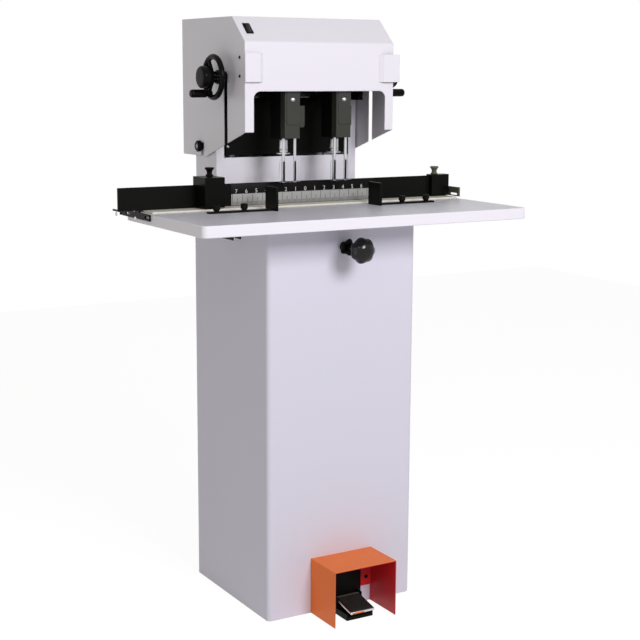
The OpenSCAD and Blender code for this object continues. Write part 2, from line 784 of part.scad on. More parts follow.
module side_ear(x) {
    translate([0, -block_y1 - 3, 0]) rotate([90, 0, 0]) linear_extrude(height = block_d - 9)
        polygon([[block_w / 2 - 1, block_z0 + 24], [x - 3, block_z0 + 24], [x, block_z0 + 29],
            [x, block_z0 + 72], [block_w / 2 - 1, block_z0 + 72]]);
}

module block_button() color(steel) translate([0, -block_y0 - 2, block_z0 + 86]) rotate([90, 0, 0]) {
    cylinder(h = 2, r = 5.2);
    translate([0, 0, 2]) cylinder(h = 2, r1 = 5.2, r2 = 3.4);
}

module spindle_motor() color(iron) translate([0, -spindle_y, head_z1]) {
    cylinder(h = motor_h - 14, d = motor_d);
    translate([0, 0, motor_h - 14]) cylinder(h = 14, d1 = motor_d, d2 = motor_d - 16);
}

module chuck() color(steel) translate([0, -spindle_y, 0]) difference() {
    union() {
        translate([0, 0, chuck_z1]) cylinder(h = head_z1 - chuck_z1 - 4, r = quill_r);
        translate([0, 0, chuck_z0 + 5]) cylinder(h = chuck_h - 5, d = chuck_d);
        translate([0, 0, chuck_z0 + 2]) cylinder(h = 3, r = chuck_d / 2 + 5);
        translate([0, 0, chuck_z0]) cylinder(h = 2, d = chuck_d - 3);
    }
    translate([0, 0, chuck_z0 - 1]) cylinder(h = chuck_h, r = bit_d / 2 + run_fit);
}

module drill_bit() color(steel) translate([0, -spindle_y, 0]) difference() {
    union() {
        translate([0, 0, bit_z0]) cylinder(h = 4, d1 = bit_bore + 1, d2 = bit_d);
        translate([0, 0, bit_z0 + 4]) cylinder(h = chuck_z0 + chuck_h - 5 - bit_z0 - 4, d = bit_d);
    }
    translate([0, 0, bit_z0 - 1]) cylinder(h = chuck_z0 + chuck_h - bit_z0, d = bit_bore);
}

// Two rods joined by a top bridge inside the block's height range; flats seat the shield
module shield_rods() color(steel) difference() {
    for (s = [-1, 1]) translate([s * rod_gap / 2, -rod_y, rod_z0])
        cylinder(h = rod_z1 - rod_z0, r = rod_r);
    span([-shield_w, shield_w], [-rod_y - rod_r - 1, -shield_y], [shield_z0 - 2, shield_z0 + shield_h]);
}

module clear_shield() color([0.80, 0.88, 0.90, 0.35])
    span([-shield_w / 2, shield_w / 2], [-shield_y - shield_t, -shield_y],
        [shield_z0, shield_z0 + shield_h]);

module left_head() {
    translate([-spindle_x, 0, 0]) children();
}

module right_head() {
    translate([spindle_x, 0, 0]) children();
}

// ---------- gauge ----------

module gauge_bar() color(black) {
    span([gauge_x0, gauge_x1], [-gauge_y, -gauge_y + gauge_t], [gauge_z0, gauge_z1]);
    span([-end_x + foot_gap, gauge_x1 - 6], [-gauge_y + gauge_t, -gauge_y + gauge_foot],
        [gauge_z0, gauge_z0 + 4]);
}

module ruler_strip() color(steel)
    span([-ruler_l / 2, ruler_l / 2], [-gauge_y - ruler_t, -gauge_y], [gauge_z0 + 0.5, gauge_z1 - 1]);

module gauge_ends() color(black) {
    // slotted strip along the table's left edge
    difference() {
        union() {
            span([-end_x - end_t, -end_x], [-60, 90], [table_z - 15, table_z - 1]);
            span([-end_x - end_t, -end_x], [89, 146], [table_z - 10, table_z - 6]);
            translate([-end_x - end_t / 2, 101, table_z - 15]) cylinder(h = 6, r = 3);
            // arm up to the gauge bar
            span([-end_x - end_t, -end_x], [-gauge_y + gauge_t, 18], [table_z - 5, gauge_z0 + 20]);
            span([-end_x - 30, -end_x], [-gauge_y + gauge_t, -gauge_y + gauge_t + 3],
                [table_z + 6, gauge_z0 + 20]);
        }
        for (y = guide_y) translate([-end_x + eps, y + gauge_shift, table_z - 8]) rotate([0, -90, 0])
            rotate([0, 0, 90]) slot_x(gauge_slot, 5.2, end_t + 2 * eps);
    }
    // upright plate on the right end, slotted
    difference() {
        span([gauge_x1 - 5, gauge_x1 - 1], [-60, -gauge_y], [board_z + 1, table_z + 27]);
        translate([gauge_x1 - 6, -38, table_z + 10]) rotate([0, 90, 0])
            rotate([0, 0, 90]) slot_x(30, 5.2, 6);
    }
}

// One clamp block that hooks over the bar
module bar_clamp(c) color(black) difference() {
    span([c[0], c[0] + c[1]], [-c[2], -gauge_y + gauge_t + 6], [board_z + 3, table_z + c[3]]);
    span([c[0] - 1, c[0] + c[1] + 1], [-gauge_y - slide_gap, -gauge_y + gauge_t + slide_gap],
        [board_z + 2, gauge_z1 + slide_gap]);
    // clears the bar's foot
    span([c[0] - 1, c[0] + c[1] + 1], [-gauge_y, -gauge_y + gauge_t + 7], [board_z + 2, gauge_z0 + 5]);
    translate([c[0] + c[4], -clamp_screw_y, gauge_z1])
        cylinder(h = c[3], r = stud_r + run_fit);
}

// Flared thumb screw on top of a clamp
module clamp_screw(c) color(black) translate([c[0] + c[4], -clamp_screw_y, table_z + c[3]]) {
    reach = table_z + c[3] - gauge_z1;
    translate([0, 0, 0.5 - reach]) cylinder(h = reach, r = stud_r);
    translate([0, 0, face_gap]) cylinder(h = 3, r = 9);
    translate([0, 0, 3]) cylinder(h = 5, r = 6);
    translate([0, 0, 8]) cylinder(h = 8, r1 = 6, r2 = 10.5);
    translate([0, 0, 16]) cylinder(h = 3, r = 10.5);
}

// The right-hand table stop
module table_stop() color(black) difference() {
    union() {
        span([stop_x - stop_t / 2, stop_x + stop_t / 2],
            [-stop_y - stop_l / 2, -stop_y + stop_l / 2], [table_z + slide_gap, table_z + stop_h]);
        span([stop_x, stop_x + rail_out], [-rail_y - rail_w / 2, -rail_y + rail_w / 2],
            [table_z + slide_gap, table_z + rail_t]);
    }
    for (x = stop_screw_x) translate([stop_x + x, -rail_y, table_z - 1])
        slot_x(stop_slot, 2 * stud_r + 0.6, rail_t + 2);
}

module stop_screws() color(black) left_and_right() for (x = stop_screw_x)
    translate([stop_x + x, -rail_y, table_z]) {
        translate([0, 0, -13]) cylinder(h = rail_t + 15, r = stud_r);
        translate([0, 0, rail_t + face_gap]) cylinder(h = 3, r = thumb_r - 2);
        translate([0, 0, rail_t + 3]) cylinder(h = thumb_h - 3, r = thumb_r);
    }

// ---------- control knobs ----------

module lobed_knob() color(black) translate([0, front_y - 78, knob_z]) {
    rod_y(0, 78 + boss_l + 2, knob_shaft_r);
    intersection() {
        rotate([90, 0, 0]) translate([0, 0, -20]) cylinder(h = 42, r = 40);
        union() {
            sphere(r = 25);
            for (k = [0 : 6]) rotate([0, k * 360 / 7, 0]) translate([18.5, 0, 0]) sphere(r = 12);
        }
    }
}

module lock_knob() color(black) translate([0, front_y - 12, knob_z]) difference() {
    union() {
        rod_y(-10, 0, 13);
        for (k = [0 : 4]) rotate([0, 27 + k * 72, 0]) translate([14, 0, 0]) rod_y(-9, -1, 6);
        rod_y(-2, 11.5, 11);
    }
    rod_y(-11, 13, knob_shaft_r + run_fit);
}

// ---------- foot pedal ----------

module foot_guard() color(orange) difference() {
    union() {
        difference() {
            span([-guard_w / 2, guard_w / 2], [front_y - guard_d, front_y], [1, guard_h]);
            span([-guard_w / 2 + guard_t, guard_w / 2 - guard_t], [front_y - guard_d - eps, front_y + eps],
                [0, guard_h - guard_t]);
        }
        // rear flanges on the cabinet
        left_and_right() span([guard_w / 2 - 31, guard_w / 2 - guard_t], [front_y - guard_t, front_y],
            [40, guard_h - guard_t]);
    }
}

module pedal_base() color(black) difference() {
    union() {
        // floor plate and tray
        span([-tray_x - tray_t, tray_x + tray_t], [tray_y, front_y], [pedal_z0, pedal_z0 + 3]);
        left_and_right() span([tray_x, tray_x + tray_t], [tray_y, front_y - 6], [pedal_z0, 16]);
        span([-tray_x, tray_x], [tray_y, tray_y + 2], [pedal_z0, 9]);
        // ears that hold the hinge pin
        left_and_right() span([tray_x, tray_x + tray_t], [pin_y - 9, front_y - 6], [pedal_z0, pin_z + 9]);
        // valve housing, which reaches into the cabinet
        span([-valve_w / 2, valve_w / 2], [front_y - 16, front_y], [pedal_z0, valve_h]);
        span([-valve_w / 2, valve_w / 2], [front_y - 1, front_y + 34], [floor_t + face_gap, valve_h]);
    }
    translate([0, pin_y, pin_z]) rod_x(-tray_x - tray_t - 1, tray_x + tray_t + 1, 3 + run_fit);
}

// Drawn level with its pin, then tipped to its slope
module treadle() color(iron) translate([0, pin_y, pin_z]) {
    rod_x(-tray_x - tray_t, tray_x + tray_t, 3);
    rotate([tread_slope, 0, 0]) {
        span([-treadle_w / 2, treadle_w / 2], [-treadle_l, 0], [-tread_t / 2 + 2, tread_t / 2 + 2]);
        rod_x(-treadle_w / 2, treadle_w / 2, 6);
        // grip ribs
        for (k = [1 : 8]) span([-treadle_w / 2 + 3, treadle_w / 2 - 3],
            [-treadle_l + 7 * k - 2, -treadle_l + 7 * k + 1.5], [tread_t / 2 + 1, tread_t / 2 + 3.2]);
    }
}

module treadle_spring() color(steel) translate([0, pin_y - spring_back, pedal_z0 + 3]) difference() {
    cylinder(h = spring_z1 - pedal_z0 - 3, r = spring_r);
    translate([0, 0, -1]) cylinder(h = spring_z1, r = spring_r - 2);
}

pedestal_cabinet();
rear_panel();
panel_screws();
power_inlet();
column_shell();
column_front_panel();
table_top();
table_brackets();
drilling_board();
head_cover();
corner_brackets();
cover_knobs();
switch_frame();
power_rocker();
guide_posts();
lift_cylinder();
cylinder_rod();
oil_tank();
pump_motor();
pressure_pipe();
carriage();
slide_bars();
mirror([1, 0, 0]) color(steel) lead_screw();  // lead_screw_left
color(steel) lead_screw();  // lead_screw_right
mirror([1, 0, 0]) color(black) at_wheel() hand_wheel(crank_turn[0]);  // hand_wheel_left
color(black) at_wheel() hand_wheel(crank_turn[1]);  // hand_wheel_right
mirror([1, 0, 0]) color(black) at_wheel() crank_grip(crank_turn[0]);  // crank_grip_left
color(black) at_wheel() crank_grip(crank_turn[1]);  // crank_grip_right
left_head() drill_head();  // drill_head_left
right_head() drill_head();  // drill_head_right
left_head() rod_block(ear_out[0]);  // rod_block_left
right_head() rod_block(ear_out[1]);  // rod_block_right
left_head() block_button();  // block_button_left
right_head() block_button();  // block_button_right
left_head() spindle_motor();  // spindle_motor_left
right_head() spindle_motor();  // spindle_motor_right
left_head() chuck();  // chuck_left
right_head() chuck();  // chuck_right
left_head() drill_bit();  // drill_bit_left
right_head() drill_bit();  // drill_bit_right
left_head() shield_rods();  // shield_rods_left
right_head() shield_rods();  // shield_rods_right
left_head() clear_shield();  // clear_shield_left
right_head() clear_shield();  // clear_shield_right
gauge_bar();
ruler_strip();
gauge_ends();
bar_clamp(clamp_left);  // bar_clamp_left
bar_clamp(clamp_right);  // bar_clamp_right
clamp_screw(clamp_left);  // clamp_screw_left
clamp_screw(clamp_right);  // clamp_screw_right
mirror([1, 0, 0]) table_stop();  // table_stop_left
table_stop();  // table_stop_right
stop_screws();
lobed_knob();
lock_knob();
foot_guard();
pedal_base();
treadle();
treadle_spring();
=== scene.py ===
import bpy, bmesh, json
from math import cos, pi, radians, sin
from mathutils import Matrix, Vector

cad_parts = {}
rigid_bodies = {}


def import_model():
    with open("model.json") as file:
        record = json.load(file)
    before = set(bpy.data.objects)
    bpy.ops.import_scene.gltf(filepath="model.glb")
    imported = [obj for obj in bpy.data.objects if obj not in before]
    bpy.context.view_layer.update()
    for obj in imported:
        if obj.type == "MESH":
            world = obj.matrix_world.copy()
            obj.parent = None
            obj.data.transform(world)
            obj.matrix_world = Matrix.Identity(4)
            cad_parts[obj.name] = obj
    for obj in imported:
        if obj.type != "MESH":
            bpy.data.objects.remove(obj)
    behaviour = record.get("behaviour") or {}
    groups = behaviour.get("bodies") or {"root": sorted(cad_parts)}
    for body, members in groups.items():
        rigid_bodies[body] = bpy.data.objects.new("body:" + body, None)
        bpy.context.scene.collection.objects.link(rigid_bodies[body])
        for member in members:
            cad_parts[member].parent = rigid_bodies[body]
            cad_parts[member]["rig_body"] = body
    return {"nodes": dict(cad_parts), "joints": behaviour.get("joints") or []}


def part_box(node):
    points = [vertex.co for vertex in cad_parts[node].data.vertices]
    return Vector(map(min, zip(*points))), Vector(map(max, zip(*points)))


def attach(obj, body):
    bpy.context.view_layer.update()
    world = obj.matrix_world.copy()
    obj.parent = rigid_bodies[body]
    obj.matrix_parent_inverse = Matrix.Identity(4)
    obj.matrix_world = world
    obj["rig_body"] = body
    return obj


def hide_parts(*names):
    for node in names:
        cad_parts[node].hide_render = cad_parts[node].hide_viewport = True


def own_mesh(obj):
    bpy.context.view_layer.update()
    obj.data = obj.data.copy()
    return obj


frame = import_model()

scene = bpy.context.scene
scene.view_settings.view_transform = "Standard"
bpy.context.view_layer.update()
mm = 0.001
inch = 25.4 * mm
pivot = {joint["name"]: Vector(joint["pos_m"]) for joint in frame["joints"] if "pos_m" in joint}
sides = {"left": -1, "right": 1}
print("frame loaded:", len(frame["nodes"]), "nodes")


# short ways to add and join nodes

def wire(tree, node, inputs):
    # sets or links a node's inputs by name or number
    for key, value in inputs.items():
        if isinstance(value, bpy.types.NodeSocket):
            tree.links.new(value, node.inputs[key])
        else:
            node.inputs[key].default_value = value
    return node


def add(tree, kind, inputs=None, **settings):
    node = tree.nodes.new(kind)
    for key, value in settings.items():
        setattr(node, key, value)
    return wire(tree, node, inputs or {})


def calculate(tree, operation, *values, clamp=False):
    node = add(tree, "ShaderNodeMath", operation=operation, use_clamp=clamp)
    return wire(tree, node, dict(enumerate(values))).outputs[0]


def times(tree, first, second):
    return calculate(tree, "MULTIPLY", first, second)


def vector(tree, x=0.0, y=0.0, z=0.0):
    return add(tree, "ShaderNodeCombineXYZ", {0: x, 1: y, 2: z}).outputs[0]


# camera, light and floor

camera = {
    "place": (-1.5729, -2.7487, 1.2244),
    "yaw": 30.537,      # degrees from +Y towards +X
    "pitch": -10.356,
    "roll": 0.311,
    "lens": 77.07,
    "sensor": 36,
}


def linked(name, data):
    made = bpy.data.objects.new(name, data)
    scene.collection.objects.link(made)
    return made


def makeCamera():
    yaw, pitch, roll = (radians(camera[key]) for key in ("yaw", "pitch", "roll"))
    ahead = Vector((sin(yaw) * cos(pitch), cos(yaw) * cos(pitch), sin(pitch)))
    level = Vector((cos(yaw), -sin(yaw), 0))
    up = level.cross(ahead)
    right = level * cos(roll) + up * sin(roll)
    data = bpy.data.cameras.new("camera")
    data.lens = camera["lens"]
    data.sensor_width = camera["sensor"]
    seer = linked("camera", data)
    turn = Matrix((right, up * cos(roll) - level * sin(roll), -ahead)).transposed()
    seer.matrix_world = Matrix.Translation(camera["place"]) @ turn.to_4x4()
    scene.camera = seer


light = {
    "world": 0.28,
    "worldColour": (1, 1, 0.955, 1),
    "white": (1, 1, 1, 1),
    "aim": (0.0, 0.0, 0.95),
    "lamps": {          # place, size in metres, watts, colour
        "key": ((0.1, -3.15, 2.3), 1.1, 74, (0.975, 0.965, 1.0)),
        "left": ((-3.2, -0.3, 0.9), 1.8, 8, (1.0, 0.93, 0.84)),
        "glint": ((-1.9, -2.4, 2.5), 1.0, 4, (1.0, 1.0, 1.0)),
    },
    "floor": 8.0,       # metres across
    "floorColour": (0.86, 0.86, 0.87, 1),
    "floorGlow": 0.82,  # share of plain white in what the camera sees of the floor
    "floorWhite": 1.13,
}


def makeLamps():
    for name, (place, size, watts, colour) in light["lamps"].items():
        data = bpy.data.lights.new(name, "AREA")
        data.shape = "SQUARE"
        data.size = size
        data.energy = watts
        data.color = colour
        lamp = linked(name, data)
        lamp.location = place
        aim = Vector(light["aim"]) - Vector(place)
        lamp.rotation_euler = aim.to_track_quat("-Z", "Y").to_euler()


def whiteRays(tree):
    # 1 on the rays that see plain white, 0 on those that carry light
    seen = add(tree, "ShaderNodeLightPath").outputs
    first = calculate(tree, "MAXIMUM", seen["Is Camera Ray"], seen["Is Glossy Ray"])
    return calculate(tree, "MAXIMUM", first, seen["Is Transmission Ray"])


def emptied(owner):
    owner.use_nodes = True
    owner.node_tree.nodes.clear()
    return owner.node_tree


def makeWorld():
    scene.world = bpy.data.worlds.new("studio")
    tree = emptied(scene.world)
    lit = add(tree, "ShaderNodeBackground", {"Color": light["worldColour"], "Strength": light["world"]})
    seen = add(tree, "ShaderNodeBackground", {"Color": light["white"]})
    mix = add(tree, "ShaderNodeMixShader", {0: whiteRays(tree), 1: lit.outputs[0], 2: seen.outputs[0]})
    add(tree, "ShaderNodeOutputWorld", {"Surface": mix.outputs[0]})


def makeFloor():
    half = light["floor"] / 2
    mesh = bpy.data.meshes.new("floor")
    corners = [(-half, -half, 0), (half, -half, 0), (half, half, 0), (-half, half, 0)]
    mesh.from_pydata(corners, [], [(0, 1, 2, 3)])
    paper = bpy.data.materials.new("floorPaper")
    tree = emptied(paper)
    share = times(tree, whiteRays(tree), light["floorGlow"])
    matte = add(tree, "ShaderNodeBsdfDiffuse", {"Color": light["floorColour"]})
    glow = add(tree, "ShaderNodeEmission", {"Color": light["white"], "Strength": light["floorWhite"]})
    mix = add(tree, "ShaderNodeMixShader", {0: share, 1: matte.outputs[0], 2: glow.outputs[0]})
    add(tree, "ShaderNodeOutputMaterial", {"Surface": mix.outputs[0]})
    mesh.materials.append(paper)
    floor = linked("floor", mesh)


makeCamera()
makeLamps()
makeWorld()
makeFloor()
print("camera, light and floor made")


# shared shader groups

def objectPlace(tree):
    return add(tree, "ShaderNodeTexCoord").outputs["Object"]


def noise(tree, scale, detail, where=None):
    inputs = {"Vector": where or objectPlace(tree), "Scale": scale, "Detail": detail}
    return add(tree, "ShaderNodeTexNoise", inputs).outputs["Fac"]


def mixed(tree, factor, first, second):
    # first is a colour socket, second a plain colour
    node = add(tree, "ShaderNodeMix", {0: factor, 6: first, 7: (*second, 1)}, data_type="RGBA")
    return node.outputs[2]


def newTree(name, family, takes, gives):
    # an empty node group with its inputs and outputs
    tree = bpy.data.node_groups.new(name, family + "NodeTree")
    for label, (kind, start) in takes.items():
        socket = tree.interface.new_socket(label, in_out="INPUT", socket_type="NodeSocket" + kind)
        if start is not None:
            socket.default_value = start
    for label, kind in gives.items():
        tree.interface.new_socket(label, in_out="OUTPUT", socket_type="NodeSocket" + kind)
    return tree, tree.nodes.new("NodeGroupInput").outputs, tree.nodes.new("NodeGroupOutput")


def newGroup(name, takes, gives):
    numbers = {label: ("Float", start) for label, start in takes.items()}
    return newTree(name, "Shader", numbers, dict.fromkeys(gives, "Float"))


def makeGrainGroup():
    # slow mottling and a fine skin, both round 1
    takes = {"Mottle Scale": 6, "Mottle": 0.05, "Skin Scale": 700}
    tree, take, out = newGroup("grain", takes, ["Shade", "Height"])
    centred = calculate(tree, "SUBTRACT", noise(tree, take["Mottle Scale"], 4.0), 0.5)
    shade = calculate(tree, "MULTIPLY_ADD", times(tree, centred, take["Mottle"]), 2.0, 1.0)
    wire(tree, out, {"Shade": shade, "Height": noise(tree, take["Skin Scale"], 2.0)})
    return tree


def makeWearGroup():
    # a mask that follows the edges, broken up by noise
    takes = {"Radius": 0.0012, "Amount": 0.5, "Break Up": 60}
    tree, take, out = newGroup("edgeWear", takes, ["Mask"])
    rounded = add(tree, "ShaderNodeBevel", {"Radius": take["Radius"]}, samples=4)
    flat = add(tree, "ShaderNodeNewGeometry").outputs["Normal"]
    facing = add(tree, "ShaderNodeVectorMath", {0: rounded.outputs[0], 1: flat}, operation="DOT_PRODUCT")
    bend = calculate(tree, "SUBTRACT", 1.0, facing.outputs["Value"])
    worn = times(tree, bend, times(tree, noise(tree, take["Break Up"], 5.0), 9.0))
    wire(tree, out, {"Mask": calculate(tree, "MULTIPLY", worn, take["Amount"], clamp=True)})
    return tree


def makeDustGroup():
    # settles on faces that look up
    tree, take, out = newGroup("dust", {"Amount": 0.2, "Scale": 18}, ["Mask"])
    facing = add(tree, "ShaderNodeSeparateXYZ", {0: add(tree, "ShaderNodeNewGeometry").outputs["Normal"]})
    upward = calculate(tree, "MAXIMUM", facing.outputs["Z"], 0.0)
    laid = times(tree, upward, noise(tree, take["Scale"], 6.0))
    wire(tree, out, {"Mask": calculate(tree, "MULTIPLY", laid, take["Amount"], clamp=True)})
    return tree


def makeBrushGroup():
    # fine lines, long where the number for that axis is low, as a tool leaves them
    takes = {"Along X": 1, "Along Y": 1, "Along Z": 1, "Scale": 900}
    tree, take, out = newGroup("brushed", takes, ["Line"])
    stretch = vector(tree, take["Along X"], take["Along Y"], take["Along Z"])
    drawn = add(tree, "ShaderNodeVectorMath", {0: objectPlace(tree), 1: stretch}, operation="MULTIPLY")
    wire(tree, out, {"Line": noise(tree, take["Scale"], 3.0, drawn.outputs[0])})
    return tree


groups = {"grain": makeGrainGroup(), "wear": makeWearGroup(), "dust": makeDustGroup(),
          "brush": makeBrushGroup()}


def use(tree, group, inputs):
    return wire(tree, add(tree, "ShaderNodeGroup", node_tree=groups[group]), inputs)


# materials

# bump is in mm; skin is the scale of its noise; worn is the colour under the wear
finishParts = ("colour", "rough", "mottle", "mottleScale", "bump", "skin", "worn", "wear", "dust", "gloss")
finishes = {
    "whitePaint": ((0.82, 0.79, 0.855), 0.36, 0.018, 3, 0.02, 520, (0.62, 0.60, 0.62), 0.25, 0.05, 0.5),
    # the pedestal's copy of the white paint, made darker: painted shade for the pedestal, which gets less
    # light than the head
    "shadedCabinetPaint": ((0.70, 0.68, 0.775), 0.42, 0.025, 2.2, 0.02, 520,
        (0.60, 0.58, 0.60), 0.25, 0.05, 0.3),
    "edgeBand": ((0.84, 0.81, 0.87), 0.40, 0.015, 8, 0.01, 900, (0.7, 0.68, 0.66), 0.25, 0.0, 0.5),
    "blackPaint": ((0.0045, 0.0045, 0.004), 0.38, 0.12, 14, 0.04, 900, (0.045, 0.045, 0.04), 0.35, 0.0, 0.06),
    "darkMetal": ((0.0042, 0.0045, 0.0038), 0.55, 0.15, 20, 0.06, 600,
        (0.03, 0.03, 0.03), 0.3, 0.0, 0.05),
    "blackPlastic": ((0.0045, 0.0045, 0.004), 0.26, 0.08, 25, 0.03, 1500, (0.04, 0.04, 0.04), 0.2, 0.0, 0.05),
    "glossPlastic": ((0.0032, 0.0032, 0.003), 0.12, 0.05, 25, 0.01, 300,
        (0.02, 0.02, 0.02), 0.1, 0.0, 0.3),
    "wheelPlastic": ((0.0032, 0.0032, 0.003), 0.16, 0.05, 25, 0.01, 300,
        (0.02, 0.02, 0.02), 0.1, 0.0, 0.06),
    "greyPaint": ((0.042, 0.042, 0.036), 0.42, 0.10, 18, 0.04, 800, (0.16, 0.16, 0.15), 0.35, 0.06, 0.2),
    "castIron": ((0.05, 0.052, 0.05), 0.6, 0.25, 30, 0.2, 260, (0.2, 0.2, 0.19), 0.4, 0.1, 0.5),
    "orangePaint": ((0.86, 0.185, 0.024), 0.40, 0.04, 10, 0.03, 600,
        (0.45, 0.16, 0.08), 0.4, 0.01, 0.25),
    "redPaint": ((0.66, 0.014, 0.022), 0.45, 0.05, 12, 0.03, 600, (0.5, 0.1, 0.06), 0.2, 0.02, 0.5),
    "treadRubber": ((0.013, 0.012, 0.010), 0.7, 0.2, 40, 0.1, 700, (0.05, 0.045, 0.04), 0.5, 0.02, 0.2),
    "boardPlastic": ((0.72, 0.69, 0.60), 0.5, 0.05, 30, 0.06, 350, (0.8, 0.78, 0.72), 0.4, 0.0, 0.5),
    "digitPaint": ((0.62, 0.62, 0.60), 0.5, 0.04, 60, 0.01, 900, (0.5, 0.5, 0.5), 0.1, 0.0, 0.5),
    "rulerBand": ((0.34, 0.34, 0.33), 0.45, 0.05, 30, 0.01, 900, (0.2, 0.2, 0.2), 0.1, 0.0, 0.3),
    "olivePaint": ((0.10, 0.10, 0.07), 0.45, 0.10, 18, 0.04, 800, (0.25, 0.25, 0.2), 0.4, 0.02, 0.2),
    # mid grey for the discs set into the cover knobs' tops: a painted highlight on the black knobs
    "mark": ((0.35, 0.35, 0.34), 0.5, 0.04, 60, 0.01, 900, (0.3, 0.3, 0.3), 0.1, 0.0, 0.5),
}


def newMaterial(name):
    made = bpy.data.materials.new(name)
    made.use_nodes = True
    tree = made.node_tree
    return made, tree, tree.nodes["Principled BSDF"]


def shadedColour(tree, colour, grain):
    shaded = add(tree, "ShaderNodeVectorMath", {0: colour}, operation="SCALE")
    return wire(tree, shaded, {"Scale": grain.outputs["Shade"]}).outputs[0]


def bumped(tree, height, distance, strength=1.0):
    inputs = {"Height": height, "Distance": distance, "Strength": strength}
    return add(tree, "ShaderNodeBump", inputs).outputs[0]


dustColour = (0.45, 0.44, 0.42)


def coated(name):
    # paint, plastic or rubber: mottled colour, worn edges, dust and a fine skin
    look = dict(zip(finishParts, finishes[name]))
    made, tree, shader = newMaterial(name)
    grain = use(tree, "grain", {"Mottle Scale": look["mottleScale"], "Mottle": look["mottle"],
                                "Skin Scale": look["skin"]})
    wear = use(tree, "wear", {"Amount": look["wear"]}).outputs["Mask"]
    dust = use(tree, "dust", {"Amount": look["dust"]}).outputs["Mask"]
    worn = mixed(tree, wear, shadedColour(tree, look["colour"], grain), look["worn"])
    dusty = mixed(tree, dust, worn, dustColour)
    rough = times(tree, grain.outputs["Shade"], look["rough"])
    rougher = calculate(tree, "ADD", rough, times(tree, dust, 0.4), clamp=True)
    bump = bumped(tree, grain.outputs["Height"], look["bump"] * mm)
    wire(tree, shader, {"Base Color": dusty, "Roughness": rougher, "Normal": bump})
    shader.inputs["Specular IOR Level"].default_value = look["gloss"]
    return made


metalParts = ("colour", "rough", "stretch", "line")
metals = {
    # colour, roughness, line direction (low number = long lines that way), line strength
    "brightSteel": ((0.46, 0.46, 0.48), 0.24, (1, 1, 0.05), 0.16),
    "chromeRod": ((0.52, 0.53, 0.55), 0.30, (1, 1, 0.03), 0.05),
    "barSteel": ((0.26, 0.26, 0.26), 0.22, (0.05, 1, 1), 0.14),
    "treadSteel": ((0.62, 0.61, 0.60), 0.30, (0.05, 1, 1), 0.2),
    "drillSteel": ((0.50, 0.50, 0.52), 0.20, (1, 1, 0.04), 0.12),
}
metalWear = {"amount": 0.3, "radius": 0.0006, "colour": (0.85, 0.85, 0.85)}


def bareMetal(name):
    look = dict(zip(metalParts, metals[name]))
    made, tree, shader = newMaterial(name)
    along = dict(zip(("Along X", "Along Y", "Along Z"), look["stretch"]))
    line = use(tree, "brush", along).outputs["Line"]
    grain = use(tree, "grain", {"Mottle Scale": 22.0, "Mottle": 0.06})
    wear = use(tree, "wear", {"Amount": metalWear["amount"], "Radius": metalWear["radius"]})
    shaded = shadedColour(tree, look["colour"], grain)
    bright = mixed(tree, wear.outputs["Mask"], shaded, metalWear["colour"])
    lined = calculate(tree, "MULTIPLY_ADD", line, look["line"], look["rough"] - look["line"] / 2)
    bump = bumped(tree, line, 0.000015, 0.6)
    wire(tree, shader, {"Base Color": bright, "Roughness": lined, "Normal": bump})
    shader.inputs["Metallic"].default_value = 1.0
    return made


# colour and speck are darker than the edge band's white: painted shade for the level top, which gets less
# light than the front edge
shadedLaminate = {"colour": (0.68, 0.67, 0.73), "speck": (0.57, 0.56, 0.62), "share": 0.35, "speckScale": 420.0,
            "rough": 0.26, "scuff": 0.22, "bump": 0.00002}


def makeTopLaminate():
    # the table's white laminate with a fine speckle and faint scuffs; the top's grey colour is painted shade
    made, tree, shader = newMaterial("shadedTopLaminate")
    grain = use(tree, "grain", {"Mottle Scale": 5.0, "Mottle": 0.02, "Skin Scale": 1400})
    share = times(tree, noise(tree, shadedLaminate["speckScale"], 2.0), shadedLaminate["share"])
    speckled = mixed(tree, share, shadedColour(tree, shadedLaminate["colour"], grain), shadedLaminate["speck"])
    scuff = use(tree, "brush", {"Along X": 0.3, "Along Y": 1.0, "Along Z": 1.0, "Scale": 60.0})
    rough = calculate(tree, "MULTIPLY_ADD", scuff.outputs["Line"], shadedLaminate["scuff"], shadedLaminate["rough"])
    bump = bumped(tree, grain.outputs["Height"], shadedLaminate["bump"])
    wire(tree, shader, {"Base Color": speckled, "Roughness": rough, "Normal": bump})
    return made


clearSheet = {"colour": (0.97, 0.98, 0.98, 1), "rough": 0.05, "bend": 1.06}


def makeClearPlastic():
    made, tree, shader = newMaterial("clearPlastic")
    grain = use(tree, "grain", {"Mottle Scale": 40.0, "Mottle": 0.3, "Skin Scale": 200})
    wire(tree, shader, {"Roughness": times(tree, grain.outputs["Shade"], clearSheet["rough"])})
    shader.inputs["Base Color"].default_value = clearSheet["colour"]
    shader.inputs["Transmission Weight"].default_value = 1.0
    shader.inputs["IOR"].default_value = clearSheet["bend"]
    return made


paints = {name: coated(name) for name in finishes}
paints.update({name: bareMetal(name) for name in metals})
paints["shadedTopLaminate"] = makeTopLaminate()
paints["clearPlastic"] = makeClearPlastic()
print("materials made:", len(paints))


# ways to make a mesh

def addPiece(name, mesh, *looks):
    if mesh.materials:
        mesh.materials.clear()
    for look in looks:
        mesh.materials.append(paints[look])
    return linked(name, mesh)


def evaluated(holder):
    seen = holder.evaluated_get(bpy.context.evaluated_depsgraph_get())
    return bpy.data.meshes.new_from_object(seen)


def meshFrom(work, name):
    mesh = bpy.data.meshes.new(name)
    work.to_mesh(mesh)
    work.free()
    return mesh


def smoothed(mesh, angle=32):
    mesh.polygons.foreach_set("use_smooth", [True] * len(mesh.polygons))
    mesh.set_sharp_from_angle(angle=radians(angle))
    return mesh


def given(piece, body, slot, *nodes):
    # the piece rides on its body, and stands for the nodes that it shows better
    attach(piece, body)
    if nodes:
        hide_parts(*nodes)
    return piece


